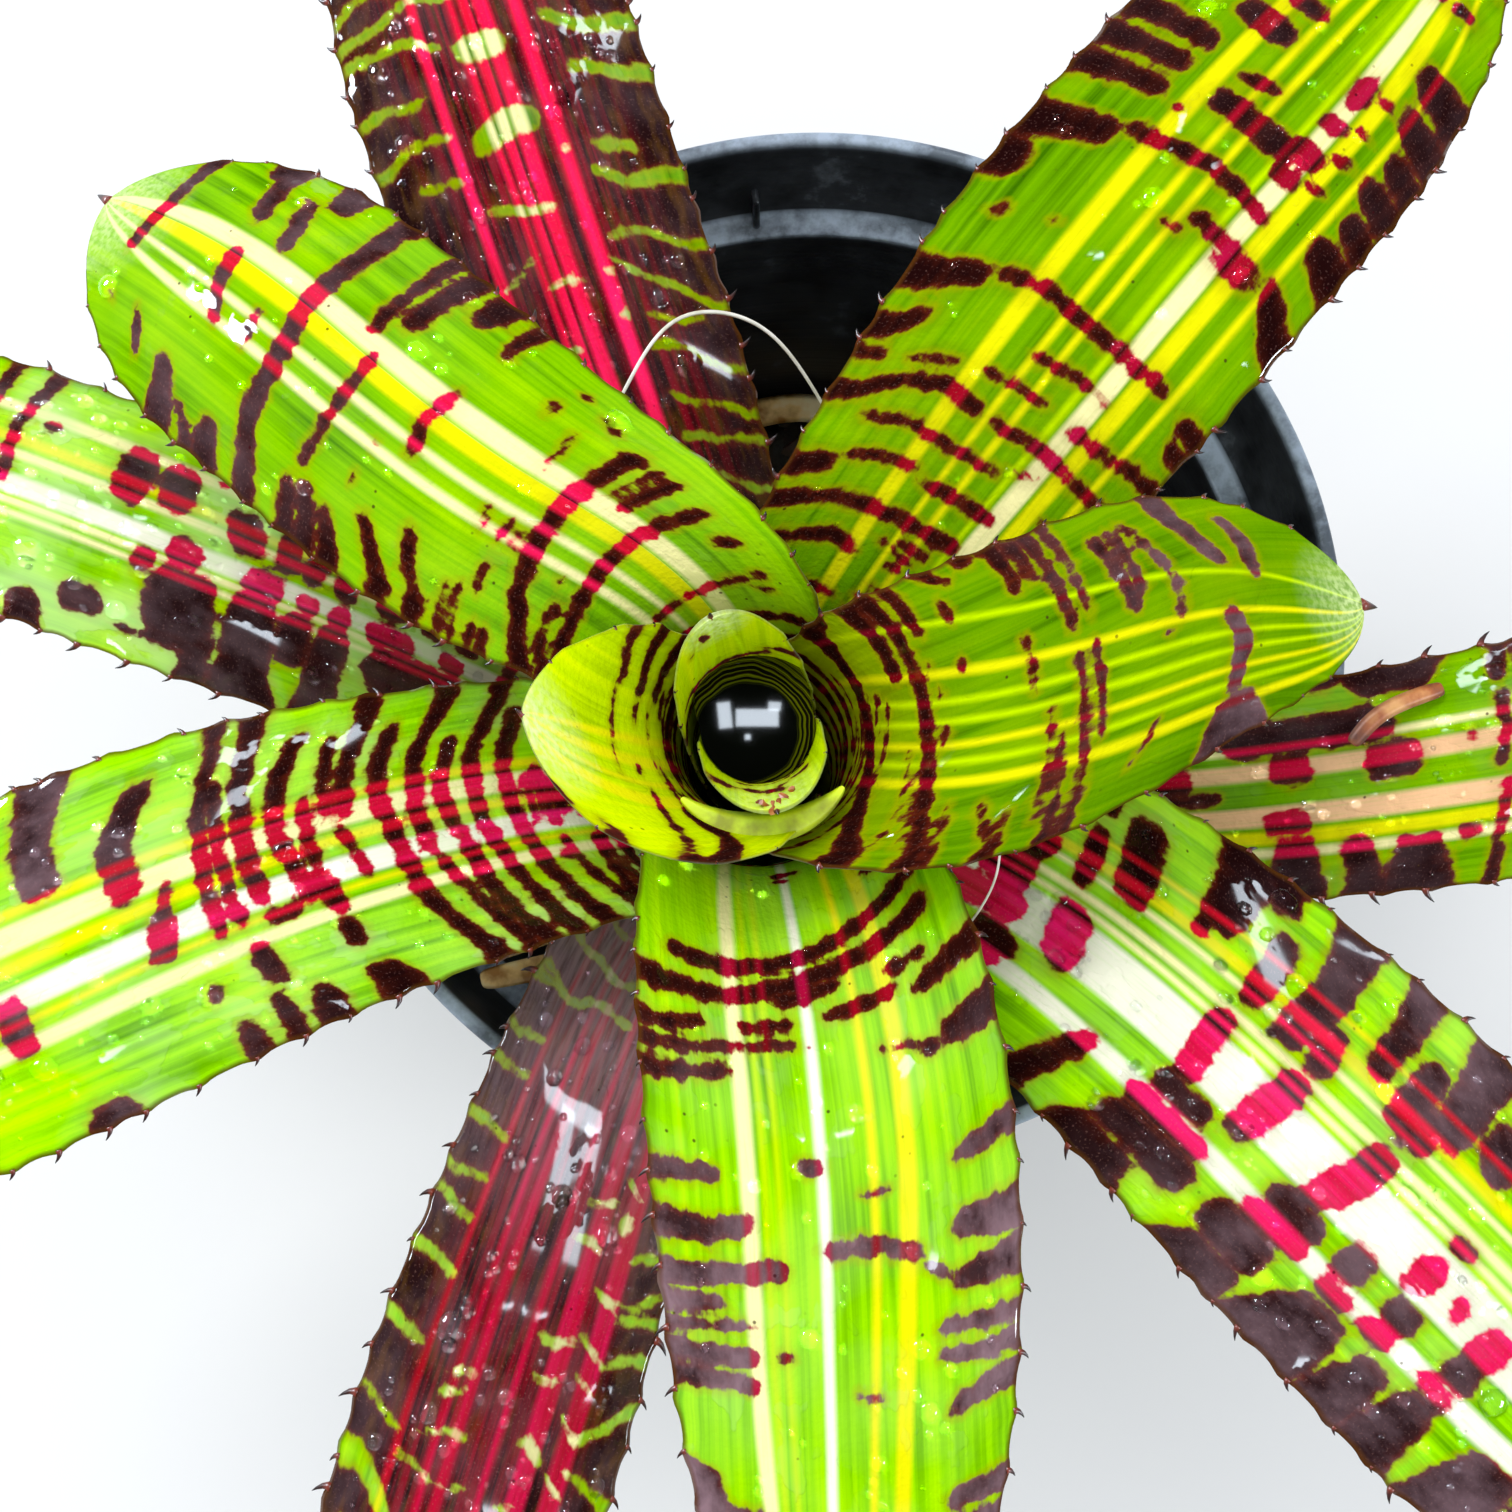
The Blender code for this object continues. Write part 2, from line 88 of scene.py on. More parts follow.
# %% Lights and world
SKY = (0.93, 0.96, 1.0, 1.0)
SKY_STRENGTH = 1.06
Lamp = namedtuple("Lamp", "size size_y energy place")  # metres, watts, metres
SOFTBOX = Lamp(0.5, 0.4, 6.3, (-0.42, 0.50, 1.25))
LEAF_PANES = (
    Lamp(0.30, 0.20, 4.0, (0.19, 0.72, 1.28)), Lamp(0.10, 0.05, 0.4, (-0.10, -0.38, 1.28)),
    Lamp(0.075, 0.28, 1.2, (0.13, 0.48, 1.28)), Lamp(0.06, 0.14, 0.6, (0.36, -0.20, 1.28)),
    Lamp(0.50, 0.50, 60.0, (-0.90, 0.62, 0.75)), Lamp(0.30, 0.30, 18.0, (0.95, -0.45, 0.72)),
)
CUP_PANES = (
    Lamp(0.0084, 0.0165, 0.0160, (-0.0300, 0.1480, 1.15)),
    Lamp(0.0270, 0.0110, 0.0350, (-0.0094, 0.1464, 1.15)),
    Lamp(0.0080, 0.0055, 0.0050, (0.0016, 0.1538, 1.15)),
    Lamp(0.0034, 0.0034, 0.0016, (-0.0154, 0.1340, 1.15)),
)
PANE_COLOUR = (0.80, 0.90, 1.0)
CUP = (-0.010, -0.024, 0.175)


def area_light(name, lamp):
    """A rectangular light whose -Z axis points at the cup."""
    data = bpy.data.lights.new(name, "AREA")
    data.shape = "RECTANGLE"
    data.size, data.size_y, data.energy = lamp[:3]
    light = bpy.data.objects.new(name, data)
    light.location = lamp.place
    light.rotation_euler = (Vector(CUP) - light.location).to_track_quat("-Z", "Y").to_euler()
    bpy.context.collection.objects.link(light)
    return light


area_light("softbox", SOFTBOX).visible_glossy = False
for number, lamp in enumerate(LEAF_PANES + CUP_PANES):
    pane = area_light(f"pane_{number}", lamp)
    pane.visible_diffuse = False
    pane.data.color = PANE_COLOUR
world = bpy.data.worlds.new("pale_sky")
world.use_nodes = True
world.node_tree.nodes["Background"].inputs["Color"].default_value = SKY
world.node_tree.nodes["Background"].inputs["Strength"].default_value = SKY_STRENGTH
world.cycles_visibility.glossy = False
bpy.context.scene.world = world
bpy.context.scene.view_settings.view_transform = "Standard"
print("lights: 1 softbox and", len(LEAF_PANES + CUP_PANES), "panes")

# %% [markdown]
# ## Small helpers
#
# Colours are picked as they look on a screen, so one function turns a hex value into the linear numbers that
# a shader works in. One more adds a node with its settings and links. A mesh comes from arrays of points and
# faces.

# %% Colour, nodes and meshes
def linear(colour, alpha=1.0):
    """An sRGB hex value as linear RGBA: c / 12.92 up to 0.04045, else ((c + 0.055) / 1.055) to the 2.4."""
    channels = [int(colour[i:i + 2], 16) / 255 for i in (0, 2, 4)]
    return (*(c / 12.92 if c <= 0.04045 else ((c + 0.055) / 1.055) ** 2.4 for c in channels), alpha)


def plug(node, sockets):
    """Sets a node's sockets, each to a value or to a link from an output. The sockets are named or numbered in
    a dict, or come in the node's own order."""
    for name, value in sockets.items() if isinstance(sockets, dict) else enumerate(sockets):
        if isinstance(value, bpy.types.NodeSocket):
            node.id_data.links.new(value, node.inputs[name])
        else:
            node.inputs[name].default_value = value


def add(tree, kind, sockets=(), out=0, **settings):
    """Adds a shader node with its properties and its sockets, and returns one of its outputs."""
    node = tree.nodes.new("ShaderNode" + kind)
    for name, value in settings.items():
        setattr(node, name, value)
    plug(node, sockets)
    return node.outputs[out]


def set_stops(output, places, colours):
    """Gives the colour ramp of an output its stops: places from 0 to 1, and RGBA colours."""
    elements = output.node.color_ramp.elements
    while len(elements) > 1:
        elements.remove(elements[-1])
    for number, (place, colour) in enumerate(zip(places, colours)):
        stop = elements.new(place) if number else elements[0]
        stop.position, stop.color = place, colour
    return output


def new_skin(name, sockets=()):
    """A material with its node tree and its Principled shader, whose sockets get the values given."""
    skin = bpy.data.materials.new(name)
    skin.use_nodes = True
    shader = skin.node_tree.nodes["Principled BSDF"]
    plug(shader, sockets)
    return skin, skin.node_tree, shader


def new_piece(name, points, faces, skins, smooth=True):
    """A mesh object at the origin, from points in mm, lists of faces, and materials."""
    mesh = bpy.data.meshes.new(name)
    mesh.from_pydata((np.asarray(points) * MM).tolist(), [], faces)
    for skin in skins:
        mesh.materials.append(skin)
    mesh.polygons.foreach_set("use_smooth", np.full(len(mesh.polygons), smooth))
    mesh.update()
    piece = bpy.data.objects.new(name, mesh)
    bpy.context.collection.objects.link(piece)
    return piece


def seat(piece, node):
    """Makes a piece ride on the part's one body and, where it stands for a node, hides that node."""
    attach(piece, "root")
    if node:
        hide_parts(node)
    print(piece.name + ":", sum(len(face.vertices) - 2 for face in piece.data.polygons), "triangles")
    return piece


print("pale green, linear:", [round(channel, 3) for channel in linear("8fd000")])

# %% [markdown]
# ## Three ways to make a surface
#
# A sheet is a grid of points. A turned piece carries a profile round an axis. A swept piece carries rings of
# radii along a line, and many small ones are made at once: spines, drops and bark chips are all swept. Every
# function works on whole arrays, so nothing loops over points.

# %% Grids, turned and swept surfaces
def grid_faces(rows, columns):
    """Quads of a grid of points stored row by row."""
    corner = np.arange(rows - 1)[:, None] * columns + np.arange(columns - 1)
    return np.stack([corner, corner + columns, corner + columns + 1, corner + 1], axis=-1).reshape(-1, 4)


def tube_faces(lines, rings, sides, first=0):
    """Quads round tubes whose points are stored line by line and ring by ring, starting at index first, and a
    many-sided face on both ends of each."""
    ring = np.arange(sides)
    after = (ring + 1) % sides
    start = first + sides * rings * np.arange(lines)[:, None]
    base = start[..., None] + sides * np.arange(rings - 1)[:, None]
    quads = np.stack([base + ring, base + after, base + sides + after, base + sides + ring], axis=-1)
    ends = np.concatenate([start + ring[::-1], start + sides * (rings - 1) + ring])
    return quads.reshape(-1, 4).tolist() + ends.tolist()


def turned(profile, steps):
    """Carries a profile of (radius, height) round Z. It runs up the outer side and down the inner one.
    A point is (r cos a, r sin a, h), and a many-sided face closes each end."""
    radius, height = np.asarray(profile, float).T[..., None]
    angle = np.linspace(0.0, 2 * np.pi, steps, endpoint=False)
    points = np.stack([radius * np.cos(angle), radius * np.sin(angle), height + 0.0 * angle], axis=-1)
    return points.reshape(-1, 3), tube_faces(1, len(profile), steps)


def swept(centres, radii, sides, up, first=0):
    """Carries rings along many lines at once. Centres are (lines, rings, 3), radii (lines, rings, 1 or sides),
    and up is (lines, 3). With t the line's direction, x = up made square to t, and y = t cross x, a point of a
    ring is centre + radius (x cos a + y sin a). Both ends are closed."""
    lines, rings = centres.shape[:2]
    along = np.gradient(centres, axis=1)
    along /= np.linalg.norm(along, axis=-1, keepdims=True)
    x = up[:, None, :] - along * (along * up[:, None, :]).sum(-1, keepdims=True)
    x /= np.linalg.norm(x, axis=-1, keepdims=True)
    y = np.cross(along, x)
    angle = np.linspace(0.0, 2 * np.pi, sides, endpoint=False)[:, None]
    radii = np.broadcast_to(radii, (lines, rings, sides))[..., None]
    points = centres[:, :, None] + radii * (x[:, :, None] * np.cos(angle) + y[:, :, None] * np.sin(angle))
    return points.reshape(-1, 3), tube_faces(lines, rings, sides, first)


print("a grid of 4 by 3 points has", len(grid_faces(4, 3)), "quads")

# %% [markdown]
# ## The shape of a leaf
#
# A bromeliad leaf starts as a wide sheath that clasps the stem, narrows at a neck, and opens into a strap
# that arches out and ends in a spine. Its midline is a smooth curve in polar coordinates round the plant's
# own axis: radius, azimuth and height. Across the leaf the azimuth turns by distance over radius. So the same
# formula wraps the sheath into a tube and lays the strap out flat. An older leaf starts lower and runs
# outside the younger.
#
# A leaf here must lie where its solid lies, so these numbers are the solid model's own. Only the youngest
# leaf's last point and the ends of the five youngest differ a little: they are longer or more pointed, as in
# the photo.

# %% Leaf measures
PLANT = (-10.0, -24.0)
STEM_RADIUS = 15.5
STEM_TOP = 120.0
STEM_TOP_RADIUS = 4.6
MIX_TOP = 50.0
YOUNGEST_BASE = 117.0
BASE_STEP = 4.8
FOOT_GAP = 1.0
YOUNGEST_NECK = (7.4, 152.0)
NECK_STEP = (1.7, -5.2)
WIDEST_WRAP = math.radians(128.0)
SHEATH_SWELL = 0.5
BLUNT = {"leaf_03": 0.75, "leaf_04": 0.52, "leaf_05": 0.58}
BLUNT_ELSE = 0.45
WAIST = 0.74
ARCH_FROM = 12.0
ARCH_OVER = 26.0

Leaf = namedtuple("Leaf", "name width path spread arch round_tip")
LEAVES = (
    Leaf("leaf_01", 30.0, ((7.6, 281, 170), (9.0, 281, 180), (13.4, 281, 186)), 20.0, 0.0, 30.0),
    Leaf("leaf_02", 33.0, ((9.8, 119, 168), (10.6, 119, 181), (13.0, 118, 192)), 20.0, 0.0, 56.0),
    Leaf("leaf_03", 44.0, ((12.0, 212, 166), (16, 212, 181), (22, 200, 192), (30, 184, 196)), 20.0, 2.0, 22.0),
    Leaf("leaf_04", 44.0, ((14.0, 345, 165), (19, 350, 182), (36, 3, 194), (60, 14, 194), (84, 11, 179)),
         25.0, 7.0, 62.0),
    Leaf("leaf_05", 45.0, ((15, 110, 160), (22, 124, 176), (44, 141, 187), (84, 139, 188), (126, 140, 164)),
         90.0, 6.0, 38.0),
    Leaf("leaf_06", 50.0, ((16.5, 281, 156), (26, 282, 171), (52, 281, 182), (92, 277, 183), (136, 276, 168)),
         70.0, 3.0, 85.0),
    Leaf("leaf_07", 50.0, ((18.5, 55, 150), (30, 53, 163), (60, 52, 179), (108, 51, 187), (162, 50, 174)),
         110.0, 4.0, 50.0),
    Leaf("leaf_08", 49.0, ((20, 200, 142), (31, 195, 156), (62, 195, 168), (106, 199, 178), (160, 200, 171)),
         130.0, 4.0, 46.0),
    Leaf("leaf_09", 53.0, ((22, 337, 138), (36, 334, 150), (70, 327, 165), (120, 321, 173), (176, 320, 166)),
         120.0, 3.0, 46.0),
    Leaf("leaf_10", 45.0, ((24, 113, 130), (40, 113, 144), (75, 112, 158), (115, 111, 166), (162, 110, 160)),
         80.0, 3.0, 46.0),
    Leaf("leaf_11", 39.0, ((27, 240, 124), (44, 243, 138), (72, 247, 148), (115, 249, 156), (168, 251, 149)),
         110.0, 3.0, 46.0),
    Leaf("leaf_12", 36.0, ((29, 352, 118), (46, 353, 132), (78, 356, 146), (115, 0, 155), (162, 3, 149)),
         130.0, 3.0, 46.0),
    Leaf("leaf_13", 38.0, ((31, 160, 112), (50, 160, 128), (80, 160, 145), (118, 160, 154), (168, 160, 145)),
         110.0, 3.0, 46.0),
)
widths = sorted(leaf.width for leaf in LEAVES)
print(len(LEAVES), "leaves,", widths[0], "to", widths[-1], "mm wide")

# %% [markdown]
# The midline is a B-spline, which stays smooth and close to its points. Its length is measured once, so that
# any place on the leaf can be asked for in millimetres along it.

# %% Midline
Shape = namedtuple("Shape", "leaf layer fine run length sheath")


def spline(points, places):
    """A uniform cubic B-spline that starts and ends on the first and last point, at places from 0 to 1."""
    held = np.vstack([points[:1], points[:1], points, points[-1:], points[-1:]])
    spans = len(held) - 3
    along = np.clip(places, 0.0, 1.0) * spans
    span = np.minimum(along.astype(int), spans - 1)
    t = (along - span)[:, None]
    weights = ((1 - t) ** 3, 3 * t**3 - 6 * t**2 + 4, -3 * t**3 + 3 * t**2 + 3 * t + 1, t**3)
    return sum(weight * held[span + i] for i, weight in enumerate(weights)) / 6


def shape_of(leaf, layer):
    """The midline of a leaf as (radius, azimuth, height) at 600 places, with the distance run to each, the
    leaf's length, and the length of its sheath."""
    base_height = YOUNGEST_BASE - BASE_STEP * layer
    share = min(1.0, max(0.0, (base_height - MIX_TOP) / (STEM_TOP - MIX_TOP)))
    base_radius = STEM_RADIUS + (STEM_TOP_RADIUS - STEM_RADIUS) * share + FOOT_GAP
    neck_radius, neck_height = (first + step * layer for first, step in zip(YOUNGEST_NECK, NECK_STEP))
    start = leaf.path[0][1]
    base = (base_radius, start, base_height)
    middle = (base_radius + 0.7 * (neck_radius - base_radius), start, (base_height + neck_height) / 2)
    control = np.array([base, middle, (neck_radius, start, neck_height), *leaf.path])
    control[:, 1] = start + (control[:, 1] - start + 180.0) % 360.0 - 180.0
    fine = spline(control, np.linspace(0.0, 1.0, 600))
    angle = np.radians(fine[:, 1])
    places = np.column_stack([fine[:, 0] * np.cos(angle), fine[:, 0] * np.sin(angle), fine[:, 2]])
    run = np.concatenate([[0.0], np.cumsum(np.linalg.norm(np.diff(places, axis=0), axis=1))])
    sheath = np.interp(neck_height, fine[:200, 2], run[:200])
    return Shape(leaf, layer, fine, run, run[-1], sheath)


SHAPES = [shape_of(leaf, layer) for layer, leaf in enumerate(LEAVES)]
print("leaf lengths in mm:", [round(shape.length) for shape in SHAPES])

# %% [markdown]
# The surface itself takes two numbers: millimetres along the leaf, and a share across it from -1 to 1. The
# real strap isn't as plain as the solid one. It has a shallow keel along its middle, slow waves, and a margin
# that rises into a small step at each spine.

# %% Leaf surface
LEAF_THICK = 0.8
MARGIN_THICK = 0.34
SPINE_PITCH = 7.0
SPINES_FROM = 6.0
SPINE_SHIFT = 1.3
SPINE_STEP = 0.55
SPINE_STEP_REACH = 1.5
WAVE_HEIGHT = 0.7
WAVE_LENGTH = 57.0
KEEL_DEPTH = 0.7


def half_width(shape, along):
    """Half the leaf's width in mm: the sheath swells, the neck is a waist, the blade widens with a smooth step
    over its spread, and the end is rounded like an ellipse."""
    swell = SHEATH_SWELL * np.exp(-(((along - 0.5 * shape.sheath) / (0.5 * shape.sheath)) ** 2))
    grown = np.clip((along - shape.sheath) / shape.leaf.spread, 0.0, 1.0)
    blade = WAIST + (1.0 - WAIST) * grown**2 * (3.0 - 2.0 * grown)
    left = np.clip((shape.length - along) / shape.leaf.round_tip, 0.0, 1.0)
    end = (1.0 - (1.0 - left) ** 1.8) ** BLUNT.get(shape.leaf.name, BLUNT_ELSE)
    return shape.leaf.width / 2 * (blade + swell) * end


def thickness(across):
    """The leaf's thickness in mm: full in the middle, thin at the margin."""
    return MARGIN_THICK + (LEAF_THICK - MARGIN_THICK) * np.sqrt(1.0 - across**4)


def spine_places(shape):
    """Millimetres along the leaf of its marginal spines, one each pitch, shifted a little at random."""
    draw = np.random.default_rng(100 + shape.layer)
    places = np.arange(shape.sheath + SPINES_FROM, shape.length - 0.12 * shape.leaf.round_tip, SPINE_PITCH)
    return places + draw.uniform(-SPINE_SHIFT, SPINE_SHIFT, len(places))


def surface(shape, along, across):
    """The leaf's middle surface in mm at (along, across): azimuth = midline + across * half / radius, and
    height = midline - arch * across squared + keel + waves. Arch, keel and waves grow from the neck out."""
    radius, azimuth, height = (np.interp(along, shape.run, shape.fine[:, i]) for i in range(3))
    half = np.minimum(half_width(shape, along), WIDEST_WRAP * radius)
    grown = np.clip((radius - ARCH_FROM - NECK_STEP[0] * shape.layer) / ARCH_OVER, 0.0, 1.0)
    flat = half / (shape.leaf.width / 2)
    near = np.abs(along[..., None] - spine_places(shape)).min(-1) / SPINE_STEP_REACH
    step = SPINE_STEP * np.exp(-(near**2)) * (along > shape.sheath + 3.0) * np.abs(across) ** 12
    angle = np.radians(azimuth) + (across * half + np.sign(across) * step) / radius
    phase = 2 * np.pi * along / WAVE_LENGTH + 1.9 * shape.layer
    wave = WAVE_HEIGHT * (0.35 + 0.65 * across**2) * np.sin(phase + 0.9 * across)
    keel = KEEL_DEPTH * (np.abs(across) - 0.45)
    lift = grown * flat**2 * (wave + keel - shape.leaf.arch * across**2)
    return np.stack([
        PLANT[0] + radius * np.cos(angle), PLANT[1] + radius * np.sin(angle), height + lift], axis=-1)


def frame_at(shape, along, across):
    """The surface's point and its unit vectors: forward along the leaf, sideways across it, and out of its
    upper face. They come from small steps either way."""
    here = surface(shape, along, across)
    forward = surface(shape, along + 0.3, across) - surface(shape, along - 0.3, across)
    sideways = surface(shape, along, across + 0.01) - surface(shape, along, across - 0.01)
    vectors = (forward, sideways, np.cross(forward, sideways))
    return here, *(vector / np.linalg.norm(vector, axis=-1, keepdims=True) for vector in vectors)


middle_of_four = surface(SHAPES[3], np.array([100.0]), np.array([0.0]))[0]
print("leaf_04, 100 mm along its middle, is at", [round(value) for value in middle_of_four])

# %% [markdown]
# ## The markings
#
# Every leaf has its own bands, so they were read off the photo one by one. A band is a row of numbers: the
# share across where it starts and ends, its thickness in mm, and the millimetres along the leaf of its
# middle, at even steps from start to end. Two old leaves are the other way round: dark all over, with green
# gaps. A stripe is a share across, a width in mm and a colour. The stripes drift sideways a little from the
# cup to the tip.

